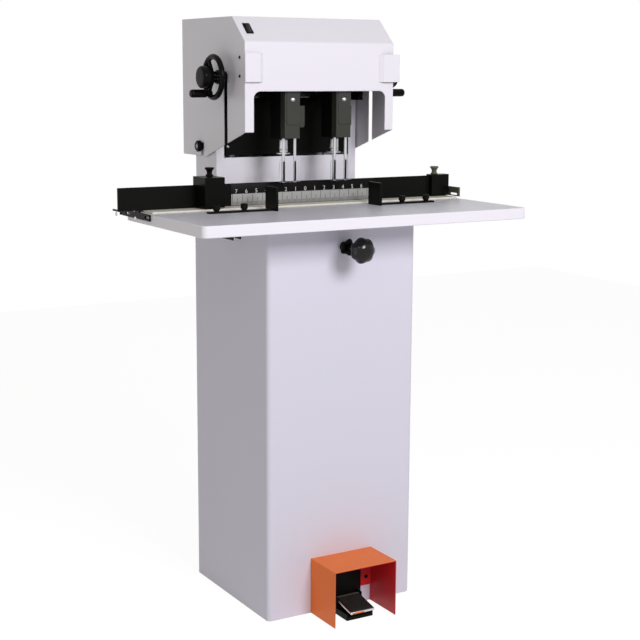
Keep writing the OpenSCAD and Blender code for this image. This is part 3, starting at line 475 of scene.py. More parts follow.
def flatNormals(mesh, area=300, near=0.8):
    # the corners of flat faces over that many mm2, and what meets them there, take the face's normal
    normals = [item.vector.copy() for item in mesh.corner_normals]
    flats = {}
    for face in mesh.polygons:
        if face.area > area * mm * mm:
            for vert in face.vertices:
                flats.setdefault(vert, []).append(face.normal.copy())
    for face in mesh.polygons:
        large = face.area > area * mm * mm
        for corner, vert in zip(face.loop_indices, face.vertices):
            if large:
                normals[corner] = face.normal.copy()
            for flat in flats.get(vert, ()):
                if not large and flat.dot(normals[corner]) > near:
                    normals[corner] = flat
    mesh.normals_split_custom_set([tuple(normal) for normal in normals])


weld = {"distance": 2e-6, "level": 0.4}     # metres, and degrees between faces that count as one


def softened(node, name, width, look, slot, steps=2, angle=35):
    # a copy of the node's solid with its sharp edges rounded
    source = frame["nodes"][node]
    work = bmesh.new()
    work.from_mesh(source.data)
    bmesh.ops.remove_doubles(work, verts=work.verts[:], dist=weld["distance"])
    bmesh.ops.dissolve_limit(work, angle_limit=radians(weld["level"]),
                             verts=work.verts[:], edges=work.edges[:])
    mesh = meshFrom(work, name)
    mesh.polygons.foreach_set("use_smooth", [True] * len(mesh.polygons))
    piece = addPiece(name, mesh, look)
    edge = piece.modifiers.new("edge", "BEVEL")
    edge.width = width * mm
    edge.segments = steps
    edge.limit_method = "ANGLE"
    edge.angle_limit = radians(angle)
    edge.harden_normals = True
    edge.use_clamp_overlap = False
    made = evaluated(piece)
    piece.modifiers.clear()
    piece.data = made
    flatNormals(made)
    return given(piece, source["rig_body"], slot, node)


def filleted(points, radius, steps=3):
    # a polyline with its inner corners rounded
    out = [Vector(points[0])]
    for before, at, after in zip(points, points[1:], points[2:]):
        at = Vector(at)
        back, on = Vector(before) - at, Vector(after) - at
        cut = min(radius, back.length * 0.45, on.length * 0.45)
        start, end = at + back.normalized() * cut, at + on.normalized() * cut
        for k in range(steps + 1):
            t = k / steps
            out.append(start * (1 - t) ** 2 + at * 2 * t * (1 - t) + end * t * t)
    out.append(Vector(points[-1]))
    return out


def placed(mesh, place, axis=(0, 0, 1)):
    # moves a mesh drawn along +Z so that it points along axis at place
    turn = Vector((0, 0, 1)).rotation_difference(Vector(axis)).to_matrix().to_4x4()
    mesh.transform(Matrix.Translation(place) @ turn)
    return mesh


def inMm(values):
    return tuple(value * mm for value in values)


def angles(steps):
    return [2 * pi * k / steps for k in range(steps)]


def skinned(work, rings, name, caps=()):
    # joins each ring of points to the next, and closes the caps with one face each
    for low, high in zip(rings, rings[1:]):
        for k in range(len(low)):
            on = (k + 1) % len(low)
            corners = list(dict.fromkeys([low[k], low[on], high[on], high[k]]))
            if len(corners) > 2:
                work.faces.new(corners)
    for ring in caps:
        work.faces.new(ring)
    bmesh.ops.recalc_face_normals(work, faces=work.faces[:])
    return meshFrom(work, name)


def lathe(points, radius=0.0, steps=48, shape=None):
    # turns (height, radius) points in mm round Z; shape(angle, height) may scale the radius
    profile = filleted(points, radius) if radius else [Vector(p) for p in points]
    work = bmesh.new()
    rings = []
    for height, reach in profile:
        if reach < 1e-6:
            rings.append([work.verts.new((0, 0, height * mm))] * steps)
            continue
        ring = []
        for a in angles(steps):
            r = reach * mm * (shape(a, height) if shape else 1)
            ring.append(work.verts.new((r * cos(a), r * sin(a), height * mm)))
        rings.append(ring)
    return smoothed(skinned(work, rings, "turned"))


def turned(profile, place, axis=(0, 0, 1), **how):
    return placed(lathe(profile, **how), place, axis)


def block(low, high, radius=0.5, steps=2):
    # a box from corner to corner in metres, with rounded edges of radius mm
    work = bmesh.new()
    bmesh.ops.create_cube(work, size=1)
    low, high = Vector(low), Vector(high)
    for vert in work.verts:
        vert.co = Vector([(low[i] + high[i]) / 2 + vert.co[i] * (high[i] - low[i]) for i in range(3)])
    bmesh.ops.bevel(work, geom=work.edges[:], offset=radius * mm, segments=steps,
                    profile=0.5, affect="EDGES")
    return smoothed(meshFrom(work, "block"), 50)


def joined(name, meshes, *looks):
    # one piece from several meshes; each takes the look of the same number, or the last one
    work = bmesh.new()
    for number, mesh in enumerate(meshes):
        start = len(work.faces)
        work.from_mesh(mesh)
        work.faces.ensure_lookup_table()
        for face in work.faces[start:]:
            face.material_index = min(number, len(looks) - 1)
    return addPiece(name, meshFrom(work, name), *looks)


# geometry node trees for what repeats

def newGrowth(name, takes):
    takes = {"Geometry": ("Geometry", None), **takes, "Material": ("Material", None)}
    return newTree(name, "Geometry", takes, {"Geometry": "Geometry"})


def endTree(tree, geometry, material, out):
    real = add(tree, "GeometryNodeRealizeInstances", {"Geometry": geometry})
    dressed = add(tree, "GeometryNodeSetMaterial", {"Geometry": real.outputs[0], "Material": material})
    tree.links.new(dressed.outputs[0], out.inputs[0])
    return tree


def turning(tree, euler):
    return add(tree, "FunctionNodeEulerToRotation", {0: euler}).outputs[0]


def shifted(tree, geometry, offset):
    return add(tree, "GeometryNodeTransform", {"Geometry": geometry, "Translation": offset}).outputs[0]


def indexed(tree):
    return add(tree, "GeometryNodeInputIndex").outputs[0]


def shareOfTurn(tree, count):
    return times(tree, calculate(tree, "DIVIDE", indexed(tree), count), 2 * pi)


def copies(tree, points, model, rotation=(0, 0, 0), **more):
    inputs = {"Points": points, "Instance": model, "Rotation": rotation, **more}
    return add(tree, "GeometryNodeInstanceOnPoints", inputs).outputs[0]


def makeRowTree():
    # boxes in a row; every so many of them may be longer
    tree, take, out = newGrowth("row", {
        "Count": ("Int", 10), "Start": ("Vector", None), "Step": ("Vector", None), "Size": ("Vector", None),
        "Long Every": ("Int", 1), "Long": ("Float", 1.0),
        "Middle Every": ("Int", 1), "Middle": ("Float", 1.0)})
    line = add(tree, "GeometryNodeMeshLine", {
        "Count": take["Count"], "Start Location": take["Start"], "Offset": take["Step"]}, mode="OFFSET")
    cube = add(tree, "GeometryNodeMeshCube", {"Size": take["Size"]})
    half = add(tree, "ShaderNodeVectorMath", {0: take["Size"], 1: (0, 0, 0.5)}, operation="MULTIPLY")
    based = shifted(tree, cube.outputs[0], half.outputs[0])
    length = 1.0
    for every, factor in (("Middle Every", "Middle"), ("Long Every", "Long")):
        left = calculate(tree, "MODULO", indexed(tree), take[every])
        chosen = calculate(tree, "LESS_THAN", left, 0.5)
        length = add(tree, "ShaderNodeMix", {0: chosen, 2: length, 3: take[factor]}).outputs[0]
    row = copies(tree, line.outputs[0], based, Scale=vector(tree, 1, 1, length))
    return endTree(tree, row, take["Material"], out)


def makeRingTree():
    # boxes round a circle about Z, such as a knurl's ribs or a motor's fins
    tree, take, out = newGrowth("ring", {
        "Count": ("Int", 12), "Radius": ("Float", 0.01), "Size": ("Vector", None),
        "Height": ("Float", 0.0)})
    circle = add(tree, "GeometryNodeMeshCircle", {"Vertices": take["Count"], "Radius": take["Radius"]})
    rib = add(tree, "GeometryNodeMeshCube", {"Size": take["Size"]})
    facing = turning(tree, vector(tree, z=shareOfTurn(tree, take["Count"])))
    ring = copies(tree, circle.outputs[0], rib.outputs[0], facing)
    return endTree(tree, shifted(tree, ring, vector(tree, z=take["Height"])), take["Material"], out)


def makeScatterTree():
    # copies of one object on the points of the mesh that carries the modifier
    tree, take, out = newGrowth("scatter", {
        "Model": ("Object", None), "Turn": ("Vector", None), "Spin": ("Float", 0.0), "Seed": ("Int", 1)})
    model = add(tree, "GeometryNodeObjectInfo", {"Object": take["Model"]})
    spin = add(tree, "FunctionNodeRandomValue", {"Seed": take["Seed"]})
    around = turning(tree, vector(tree, z=times(tree, spin.outputs[1], take["Spin"])))
    both = add(tree, "FunctionNodeRotateRotation", {0: turning(tree, take["Turn"]), 1: around},
               rotation_space="LOCAL")
    spread = copies(tree, take["Geometry"], model.outputs["Geometry"], both.outputs[0])
    return endTree(tree, spread, take["Material"], out)


def makeWheelTree():
    # a hand wheel about Z: round rim, tapering spokes and a hub
    tree, take, out = newGrowth("wheel", {
        "Rim Radius": ("Float", 0.044), "Rim Thickness": ("Float", 0.005), "Spokes": ("Int", 3),
        "Spoke Width": ("Float", 0.0045), "Hub Radius": ("Float", 0.013), "Hub Length": ("Float", 0.024),
        "Hub Drop": ("Float", 0.0)})
    path, section = (
        add(tree, "GeometryNodeCurvePrimitiveCircle", {"Resolution": steps, "Radius": take[radius]})
        for steps, radius in ((96, "Rim Radius"), (20, "Rim Thickness")))
    rim = add(tree, "GeometryNodeCurveToMesh", {
        "Curve": path.outputs[0], "Profile Curve": section.outputs[0]})
    start = times(tree, take["Hub Radius"], 0.6)
    reach = calculate(tree, "SUBTRACT", take["Rim Radius"], start)
    spoke = add(tree, "GeometryNodeMeshCone", {
        "Vertices": 20, "Side Segments": 4, "Radius Top": times(tree, take["Spoke Width"], 0.75),
        "Radius Bottom": take["Spoke Width"], "Depth": reach})
    centre = add(tree, "GeometryNodeMeshCircle", {"Vertices": take["Spokes"], "Radius": 0.00001})
    aimed = turning(tree, vector(tree, y=pi / 2, z=shareOfTurn(tree, take["Spokes"])))
    spokes = copies(tree, centre.outputs[0], shifted(tree, spoke.outputs[0], vector(tree, z=start)), aimed)
    hub = add(tree, "GeometryNodeMeshCylinder", {
        "Vertices": 48, "Side Segments": 2, "Radius": take["Hub Radius"], "Depth": take["Hub Length"]})
    every = tree.nodes.new("GeometryNodeJoinGeometry")
    for part in (rim.outputs[0], spokes, shifted(tree, hub.outputs[0], vector(tree, z=take["Hub Drop"]))):
        tree.links.new(part, every.inputs[0])
    return endTree(tree, every.outputs[0], take["Material"], out)


trees = {"row": makeRowTree(), "ring": makeRingTree(), "scatter": makeScatterTree(), "wheel": makeWheelTree()}


def grown(kind, look, values, points=()):
    # runs a tree and keeps what it makes as a plain mesh
    tree = trees[kind]
    seed = bpy.data.meshes.new(kind)
    seed.from_pydata([tuple(p) for p in points], [], [])
    holder = linked(kind, seed)
    grow = holder.modifiers.new("grow", "NODES")
    grow.node_group = tree
    ids = {item.name: item.identifier for item in tree.interface.items_tree if item.in_out == "INPUT"}
    for label, value in {**values, "Material": paints[look]}.items():
        grow[ids[label]] = value
    made = evaluated(holder)
    bpy.data.objects.remove(holder)
    return smoothed(made, 40)


def ribRing(look, ribs):
    # ribs round Z: how many, on what radius, their size and their height, in mm
    count, radius, size, height = ribs
    return grown("ring", look, {
        "Count": count, "Radius": radius * mm, "Size": inMm(size), "Height": height * mm})


def boxOf(node):
    low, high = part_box(node)
    return low, high, (low + high) / 2


print("tools made")


# pedestal, column and table

# the cabinet and the rear panel take the darker copy of the white paint, as painted shade
softened("pedestal_cabinet", "cabinetShell", 1.2, "shadedCabinetPaint", "white_paint", steps=3)
softened("rear_panel", "rearPanel", 0.7, "shadedCabinetPaint", "white_paint")
softened("column_shell", "columnShell", 1.0, "whitePaint", "white_paint", steps=3)
softened("column_front_panel", "columnPanel", 0.8, "whitePaint", "white_paint")
softened("table_brackets", "tableAngles", 0.6, "blackPaint", "black_paint")
softened("power_inlet", "powerInlet", 0.6, "blackPlastic", "black_plastic")

tableEdge = {"radius": 2.2, "band": 0.9}    # mm, and how level a face is to count as the top


def twoTone(piece, look, chosen):
    # a second look for the faces that are chosen
    piece.data.materials.append(paints[look])
    for face in piece.data.polygons:
        face.material_index = 1 if chosen(face) else 0


table = softened("table_top", "tableTop", tableEdge["radius"], "edgeBand", "table_laminate", steps=4)
# the level faces take the darker laminate as painted shade; the edges keep the white
twoTone(table, "shadedTopLaminate", lambda face: abs(face.normal.z) > tableEdge["band"])
softened("drilling_board", "drillingBoard", 0.8, "boardPlastic", "board_plastic")
print("pedestal, column and table made")


# head cover

softened("head_cover", "headCover", 1.6, "whitePaint", "white_paint", steps=4)
softened("corner_brackets", "cornerCaps", 0.9, "whitePaint", "white_paint", steps=3)

thumbKnob = {
    "cap": [(0, 0), (0, 12.4), (7.2, 12.4), (9.4, 10), (9.4, 6.5), (8.2, 6), (8.2, 0)],
    "round": 0.7,
    "ribs": (36, 12.2, (1.4, 1.1, 6.2), 3.6),
    "shank": [(-10, 0), (-10, 4), (0, 4), (0, 0)],
    "spacer": [(-5.3, 0), (-5.3, 9), (-2.3, 9), (-2.3, 0)],
    # a grey disc in the recess of the knob's top: a painted highlight for its lighter centre
    "highlightDisc": [(7.9, 0), (7.9, 6.1), (8.7, 5.5), (8.7, 0)],
}


def makeThumbKnobs():
    centre = boxOf("cover_knobs")[2]
    parts, highlightDiscs = [], []
    for side in sides.values():
        spot = (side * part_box("head_cover")[1].x, centre.y, centre.z)
        cap = lathe(thumbKnob["cap"], radius=thumbKnob["round"])
        ribs = ribRing("blackPlastic", thumbKnob["ribs"])
        meshes = [cap, ribs, lathe(thumbKnob["shank"]), lathe(thumbKnob["spacer"])]
        parts += [placed(mesh, spot, (side, 0, 0)) for mesh in meshes]
        highlightDiscs.append(turned(thumbKnob["highlightDisc"], spot, (side, 0, 0)))
    # the grey discs are painted highlights; the rest is black plastic
    piece = joined("coverKnobs", highlightDiscs + parts, "mark", "mark", "blackPlastic")
    given(piece, "root", "black_plastic", "cover_knobs")


makeThumbKnobs()
softened("switch_frame", "switchFrame", 0.5, "blackPlastic", "black_plastic")
softened("power_rocker", "powerRocker", 0.4, "glossPlastic", "black_plastic")
print("head cover made")


# screws

screw = {
    "large": (4.6, 2.6), "small": (3.6, 2.0),   # radius and height in mm
    # the head's outline, as shares of the height and the radius
    "outline": [(0, 0), (0, 1), (0.45, 1), (1, 0.55), (1, 0.28), (0.55, 0.2), (0.55, 0)],
    "rearInset": 8, "rearShares": (0.04, 0.5, 0.96), "capSetBack": 24, "capShares": (0.2, 0.85),
    "guardInset": 14, "guardBack": 2, "guardHeight": 61, "guideUp": 7, "guideY": (-47, 58), "spin": 2.0,
}


def screwHead(radius, height):
    # a domed head with a round recess
    return lathe([(height * up, radius * out) for up, out in screw["outline"]], radius=0.35, steps=24)


def makeScrews():
    panelLow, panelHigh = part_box("rear_panel")
    coverLow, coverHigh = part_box("head_cover")
    capLow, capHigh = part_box("corner_brackets")
    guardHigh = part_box("foot_guard")[1]
    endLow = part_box("gauge_ends")[0]
    models = {size: joined(size + "Model", [screwHead(*screw[size])], "brightSteel")
              for size in ("large", "small")}
    parts, looks = [], []

    def scatter(look, size, turn, seed, spots):
        parts.append(grown("scatter", look, {
            "Model": models[size], "Turn": turn, "Spin": screw["spin"], "Seed": seed}, spots))
        looks.append(look)

    rear = [(side * (panelHigh.x - screw["rearInset"] * mm), panelHigh.y,
             panelLow.z + share * (panelHigh.z - panelLow.z))
            for side in sides.values() for share in screw["rearShares"]]
    scatter("brightSteel", "large", (-pi / 2, 0, 0), 3, rear)
    for side in sides.values():
        spots = [(side * coverHigh.x, coverLow.y + screw["capSetBack"] * mm,
                  capLow.z + share * (capHigh.z - capLow.z)) for share in screw["capShares"]]
        scatter("blackPaint", "small", (0, side * pi / 2, 0), 5, spots)
    guard = [(side * (guardHigh.x - screw["guardInset"] * mm), guardHigh.y - screw["guardBack"] * mm,
              screw["guardHeight"] * mm) for side in sides.values()]
    scatter("blackPaint", "large", (pi / 2, 0, 0), 7, guard)
    guide = [(endLow.x, y * mm, endLow.z + screw["guideUp"] * mm) for y in screw["guideY"]]
    scatter("brightSteel", "large", (0, -pi / 2, 0), 9, guide)
    given(joined("panelScrews", parts, *looks), "root", "bright_steel", "panel_screws")
    for model in models.values():
        bpy.data.objects.remove(model)


makeScrews()
print("screws made")


# what moves down with the head

softened("carriage", "carriagePlate", 0.7, "darkMetal", "black_paint")

carriageScrew = {
    "dark": (5.5, 4), "plated": (4.2, 2.6),     # radius and height in mm
    "bars": (-38, 38), "inset": 6, "platedAt": (-153, 84, 1050),    # y counts from the cheeks' front
}


def makeCarriageScrews():
    # socket screws that hold the cheeks, and one plated screw low on the plate
    low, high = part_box("carriage")
    forward = (0, -1, 0)
    x, back, z = inMm(carriageScrew["platedAt"])
    meshes = [placed(screwHead(*carriageScrew["plated"]), (x, low.y + back, z), forward)]
    reach = high.x - carriageScrew["inset"] * mm
    for rise in carriageScrew["bars"]:
        for side in sides.values():
            spot = (side * reach, low.y, pivot["wheel_left_turn"].z + rise * mm)
            meshes.append(placed(screwHead(*carriageScrew["dark"]), spot, forward))
    piece = joined("carriageScrews", meshes, "brightSteel", "blackPaint")
    given(piece, frame["nodes"]["carriage"]["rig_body"], "bright_steel")


makeCarriageScrews()


def screwThread(start, end, radius, depth, pitch, steps=28, perTurn=8):
    # a rod along Z whose surface follows a trapezoidal thread
    def reach(height, angle):
        phase = (height / pitch - angle / (2 * pi)) % 1
        return radius - depth * min(1, max(0, abs(phase - 0.5) * 4 - 0.6))

    work = bmesh.new()
    rings = []
    count = int((end - start) / pitch * perTurn)
    for n in range(count + 1):
        height = start + (end - start) * n / count
        ring = []
        for a in angles(steps):
            r = reach(height, a) * mm
            ring.append(work.verts.new((r * cos(a), r * sin(a), height * mm)))
        rings.append(ring)
    return smoothed(skinned(work, rings, "thread", caps=(rings[0], rings[-1])), 60)


wheel = {               # mm; the profiles run outwards from the wheel's middle plane
    "sizes": {"Rim Radius": 44.25, "Rim Thickness": 6.25, "Spoke Width": 4.6,
              "Hub Radius": 13, "Hub Length": 24, "Hub Drop": -16},
    "cap": [(8, 0), (8, 23.4), (9, 24.5), (29.5, 24.5), (33.2, 21.6), (33.5, 12), (33.5, 0)],
    "collar": [(-16, 0), (-16, 13), (-13, 15.5), (-9, 15.5), (-7, 13), (-7, 0)],
    "boss": [(-6.4, 0), (-6.4, 5.6), (-5, 7.2), (5.5, 7.2), (6.7, 6), (6.7, 0)],
    "stem": [(5, 0), (5, 4), (42.2, 4), (42.2, 0)],
    "grip": [(0.8, 0), (0.8, 6.6), (1.8, 8.5), (4, 9), (35.5, 9), (38.8, 8), (39.8, 6), (39.8, 0)],
}
shaft = {               # mm from the machine's middle
    "thread": (7, 1.4, 6), "plainFrom": 146, "radius": 6.9,   # thread: radius, depth and pitch
    "ring": [(158.4, 6), (158.4, 11.8), (164, 11.8), (164, 6)],
}


def makeHandWheel(label, side):
    centre = pivot["wheel_" + label + "_turn"]
    pin = pivot["grip_" + label + "_turn"]
    axis = (side, 0, 0)
    body = "wheel_" + label
    spin = grown("wheel", "wheelPlastic", {label: size * mm for label, size in wheel["sizes"].items()})
    placed(spin, (0, 0, 0), axis)
    # turns the first spoke towards the crank pin
    toPin = Vector((pin.y - centre.y, pin.z - centre.z)).normalized()
    first = Vector((0, 0, 1)).rotation_difference(Vector(axis)) @ Vector((1, 0, 0))
    turn = Vector((first.y, first.z)).angle_signed(toPin)
    spin.transform(Matrix.Translation(centre) @ Matrix.Rotation(-turn, 4, "X"))
    atPin = (centre.x, pin.y, pin.z)
    meshes = [spin, turned(wheel["cap"], centre, axis, radius=2.2, steps=72),
              turned(wheel["collar"], centre, axis, radius=0.8),
              turned(wheel["boss"], atPin, axis, radius=0.8),
              turned(wheel["stem"], atPin, axis, radius=0.4)]
    given(joined("handWheel_" + label, meshes, "wheelPlastic"), body, "black_paint", "hand_wheel_" + label)
    inner, outer = sorted(abs(corner.x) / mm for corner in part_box("lead_screw_" + label))
    line = (0, centre.y, centre.z)
    plainFrom, radius = shaft["plainFrom"], shaft["radius"]
    rod = [(plainFrom, 0), (plainFrom, radius), (outer, radius), (outer, 0)]
    meshes = [placed(screwThread(inner, plainFrom, *shaft["thread"]), line, axis),
              turned(rod, line, axis, radius=0.5), turned(shaft["ring"], line, axis, radius=0.6)]
    given(joined("leadScrew_" + label, meshes, "barSteel"), body, "bright_steel", "lead_screw_" + label)
    start = (centre.x + side * wheel["sizes"]["Rim Thickness"] * mm, pin.y, pin.z)
    grip = turned(wheel["grip"], start, axis, radius=1.2, steps=40)
    piece = joined("crankGrip_" + label, [grip], "wheelPlastic")
    given(piece, "grip_" + label, "black_plastic", "crank_grip_" + label)


button = [(0, 0), (0, 5.6), (1.2, 5.6), (1.6, 5.0), (3.2, 3.6), (3.9, 1.6), (4.0, 0)]
motor = {               # mm: heights from the foot or from the top, and reach beyond the radius
    "foot": [(0, -1), (8, -1), (8, -5)],
    "top": [(-20, -5), (-20, -1), (-14, -1), (-2, -8), (0, -10)],
    "fins": 30, "finSize": (5, 1.6), "finInset": 3.6, "finShort": 28, "finUp": 12,
}
chuck = {
    "sleeve": [(0, 4.2), (0, 8.8), (1.6, 9.6), (2, 15.2), (4.8, 15.2), (5.4, 10.4), (11, 10.2), (12, 9.4),
               (13, 10.2), (34, 10.2), (35, 8.4), (160, 8.4), (160, 0), (30, 0), (30, 4.2), (0, 4.2)],
    "flats": (18, 15.1, (0.9, 1.5, 2.0), 3.4),
}
bit = {
    "tip": [(0, 2.6), (0, 3.0), (4, 4.0), (16, 4.0), (16.6, 3.6), (17.2, 4.0)],
    "radius": 4.0, "bore": 2.5, "boreFrom": 0.2,
}


def makeMotor(label, head):
    low, high, centre = boxOf("spindle_motor_" + label)
    radius, tall = (high.x - low.x) / 2 / mm, (high.z - low.z) / mm
    lower = [(up, radius + out) for up, out in motor["foot"]]
    upper = [(tall + up, radius + out) for up, out in motor["top"]]
    can = lathe([(0, 0), *lower, *upper, (tall, 0)], radius=1)
    fins = ribRing("castIron", (motor["fins"], radius - motor["finInset"],
                                (*motor["finSize"], tall - motor["finShort"]), (tall - motor["finUp"]) / 2))
    foot = Vector((centre.x, centre.y, low.z))
    piece = joined("spindleMotor_" + label, [placed(can, foot), placed(fins, foot)], "castIron")
    given(piece, head, "dark_iron", "spindle_motor_" + label)


def makeHead(label):
    head, spindle = "head_" + label, "spindle_" + label
    axisAt = pivot[spindle + "_turn"]
    softened("drill_head_" + label, "headCarrier_" + label, 0.7, "darkMetal", "black_paint")
    softened("rod_block_" + label, "rodBlock_" + label, 0.9, "greyPaint", "grey_paint", steps=3)
    low, high, centre = boxOf("block_button_" + label)
    dome = turned(button, (centre.x, high.y, centre.z), (0, -1, 0), radius=0.5, steps=40)
    given(joined("blockButton_" + label, [dome], "chromeRod"), head, "bright_steel", "block_button_" + label)
    makeMotor(label, head)
    base = Vector((axisAt.x, axisAt.y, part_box("chuck_" + label)[0].z))
    meshes = [turned(chuck["sleeve"], base, radius=0.5, steps=56),
              placed(ribRing("brightSteel", chuck["flats"]), base)]
    given(joined("chuck_body_" + label, meshes, "brightSteel"), spindle, "bright_steel", "chuck_" + label)
    low, high, centre = boxOf("drill_bit_" + label)
    tall, bore = (high.z - low.z) / mm, bit["bore"]
    walls = [*bit["tip"], (tall, bit["radius"]), (tall, bore), (bit["boreFrom"], bore), bit["tip"][0]]
    tube = turned(walls, (centre.x, centre.y, low.z), steps=40)
    given(joined("hollowBit_" + label, [tube], "drillSteel"), spindle, "bright_steel", "drill_bit_" + label)
    softened("clear_shield_" + label, "clearShield_" + label, 0.35, "clearPlastic", "clear_plastic")


for label, side in sides.items():
    makeHandWheel(label, side)
    makeHead(label)
print("head made")


# gauge, clamps and stops

softened("gauge_bar", "gaugeBar", 0.6, "blackPaint", "black_paint")
ends = softened("gauge_ends", "gaugeEnds", 0.35, "blackPaint", "black_paint")
twoTone(ends, "olivePaint", lambda face: face.center.x > 0)

ruler = {               # mm, apart from the counts
    "perInch": 8, "last": 7, "band": 26, "edge": 0.3, "proud": 0.15, "raise": 0.25, "foot": 0.6,
    "tick": (0.8, 0.2, 8), "long": 3.1, "middle": 2.0, "digit": 13, "digitDeep": 0.12, "digitOut": 0.1,
    "digitUp": 27.5,
}


def digitMesh(text):
    curve = bpy.data.curves.new("digit", "FONT")
    curve.body = text
    curve.size = ruler["digit"] * mm
    curve.extrude = ruler["digitDeep"] * mm
    curve.align_x = "CENTER"
    holder = linked("digit", curve)
    mesh = evaluated(holder)
    bpy.data.objects.remove(holder)
    mesh.transform(Matrix.Rotation(pi / 2, 4, "X"))
    return mesh


def makeRuler():
    low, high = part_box("ruler_strip")
    half, edge = high.x, ruler["edge"] * mm
    scale = block((-half + edge, low.y - ruler["proud"] * mm, low.z + edge),
                  (half - edge, low.y + edge, low.z + ruler["band"] * mm), 0.1)
    strip = joined("rulerStrip", [block(low, high, 0.2), scale], "blackPaint", "rulerBand")
    given(strip, "gauge", "ruler_metal", "ruler_strip")
    count = int(round(2 * half / inch * ruler["perInch"])) - 1
    step = inch / ruler["perInch"]
    ticks = grown("row", "blackPaint", {
        "Count": count,
        "Start": (-(count // 2) * step, low.y - ruler["raise"] * mm, low.z + ruler["foot"] * mm),
        "Step": (step, 0, 0), "Size": inMm(ruler["tick"]),
        "Long Every": 8, "Long": ruler["long"], "Middle Every": 4, "Middle": ruler["middle"]})
    given(addPiece("rulerTicks", ticks, "blackPaint"), "gauge", "ruler_metal")
    digits = []
    for number in range(-ruler["last"], ruler["last"] + 1):
        mesh = digitMesh(str(abs(number)))
        spot = (number * inch, low.y - ruler["digitOut"] * mm, low.z + ruler["digitUp"] * mm)
        mesh.transform(Matrix.Translation(spot))
        digits.append(mesh)
    given(joined("rulerDigits", digits, "digitPaint"), "gauge", "ruler_metal")


makeRuler()

clampScrew = {          # mm; the top's heights count from the top
    "neck": [(0, 0), (0, 8.6), (2.6, 8.6), (3.4, 6.2), (7, 6)],
    "top": [(-8, 6.6), (-3.4, 9.9), (-0.6, 9.9), (0, 8.9), (0, 0)],
    "gap": 0.3, "ribs": (28, 9.7, (1.4, 1.1, 2.6)), "ribDown": 2.1,
}
stopScrew = {
    "spots": (206, 273), "up": 17,
    "body": [(0.3, 0), (0.3, 5.8), (3, 6), (3.6, 7.4), (13.4, 7.4), (15, 6), (15, 0)], "round": 0.8,
    "ribs": (20, 7.3, (1.2, 1.2, 9), 8.6),
}


def thumbScrew(foot, tall):
    # neck, ribbed flare and a rounded top
    profile = clampScrew["neck"] + [(tall + up, out) for up, out in clampScrew["top"]]
    ribs = ribRing("blackPlastic", (*clampScrew["ribs"], tall - clampScrew["ribDown"]))
    return [turned(profile, foot, radius=0.8), placed(ribs, foot)]


def makeClamps():
    for label in sides:
        softened("bar_clamp_" + label, "barClamp_" + label, 0.9, "blackPlastic", "black_plastic", steps=3)
        high, centre = boxOf("clamp_screw_" + label)[1:]
        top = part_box("bar_clamp_" + label)[1].z
        foot = (centre.x, centre.y, top + clampScrew["gap"] * mm)
        meshes = thumbScrew(foot, (high.z - top) / mm - clampScrew["gap"])
        look = "blackPlastic" if label == "left" else "olivePaint"
        piece = joined("clampScrew_" + label, meshes, look)
        given(piece, "screw_" + label, "black_plastic", "clamp_screw_" + label)
        softened("table_stop_" + label, "tableStop_" + label, 0.6, "blackPaint", "black_paint")
    low, high, centre = boxOf("stop_screws")
    parts = []
    for side in sides.values():
        for x in stopScrew["spots"]:
            foot = Vector((side * x * mm, centre.y, low.z + stopScrew["up"] * mm))
            parts.append(turned(stopScrew["body"], foot, radius=stopScrew["round"]))
            parts.append(placed(ribRing("blackPlastic", stopScrew["ribs"]), foot))
    given(joined("stopScrews", parts, "blackPlastic"), "root", "black_plastic", "stop_screws")


makeClamps()
print("gauge, clamps and stops made")


# knobs under the table

knob = {
    "lobes": 7, "radius": 26.6, "swell": 2.7, "front": 22, "back": 19, "steps": 112, "rows": 40,
    "neck": [(12, 0), (12, 14), (19, 12.5), (22, 8)], "shaft": 8, "round": 1.5,
}


def makeLobedKnob():
    centre = pivot["stroke_knob_turn"]
    work = bmesh.new()
    rings = []
    for row in range(1, knob["rows"]):
        polar = pi * row / knob["rows"]
        depth = knob["front"] if polar < pi / 2 else knob["back"]
        ring = []
        for a in angles(knob["steps"]):
            lobe = (0.5 + 0.5 * cos(knob["lobes"] * a)) ** 0.8
            r = (knob["radius"] + knob["swell"] * lobe * sin(polar) ** 3) * sin(polar) ** 0.85 * mm
            ring.append(work.verts.new((r * cos(a), -depth * cos(polar) * mm, r * sin(a))))
        rings.append(ring)
    tips = [[work.verts.new((0, y * mm, 0))] * knob["steps"] for y in (-knob["front"], knob["back"])]
    ball = smoothed(skinned(work, [tips[0], *rings, tips[1]], "ball"), 60)
    ball.transform(Matrix.Translation(centre))
    end = (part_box("lobed_knob")[1].y - centre.y) / mm
    neck = turned(knob["neck"] + [(end, knob["shaft"]), (end, 0)], centre, (0, 1, 0), radius=knob["round"])
    given(joined("lobedKnob", [ball, neck], "glossPlastic"), "stroke_knob", "black_plastic", "lobed_knob")


starKnob = {
    "points": 5, "reach": 0.30, "to": 0.6, "steps": 100, "round": 0.8,
    "profile": [(-10, 8.2), (-10, 12.5), (-9, 14.6), (-5, 15.2), (-1.2, 14.6), (0, 12.5), (0.7, 11),
                (11.5, 11), (11.5, 8.2), (-10, 8.2)],
}


def makeLockKnob():
    def star(angle, height):
        if height > starKnob["to"]:
            return 1
        return 1 + starKnob["reach"] * (0.5 + 0.5 * cos(starKnob["points"] * angle)) ** 1.4

    body = turned(starKnob["profile"], pivot["locking_knob_turn"], (0, 1, 0), radius=starKnob["round"],
                  steps=starKnob["steps"], shape=star)
    given(joined("lockKnob", [body], "blackPlastic"), "locking_knob", "black_plastic", "lock_knob")


makeLobedKnob()
makeLockKnob()
print("knobs made")


# foot pedal

guardSheet = 1.2    # mm from the outside that still counts as the outer face


def makeGuard():
    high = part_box("foot_guard")[1]
    reach, top = high.x - guardSheet * mm, high.z - guardSheet * mm
    piece = softened("foot_guard", "footGuard", 0.8, "orangePaint", "orange_paint", steps=3)
    twoTone(piece, "redPaint", lambda face: abs(face.center.x) < reach and face.center.z < top)


makeGuard()
softened("pedal_base", "pedalBase", 0.9, "blackPaint", "black_paint")

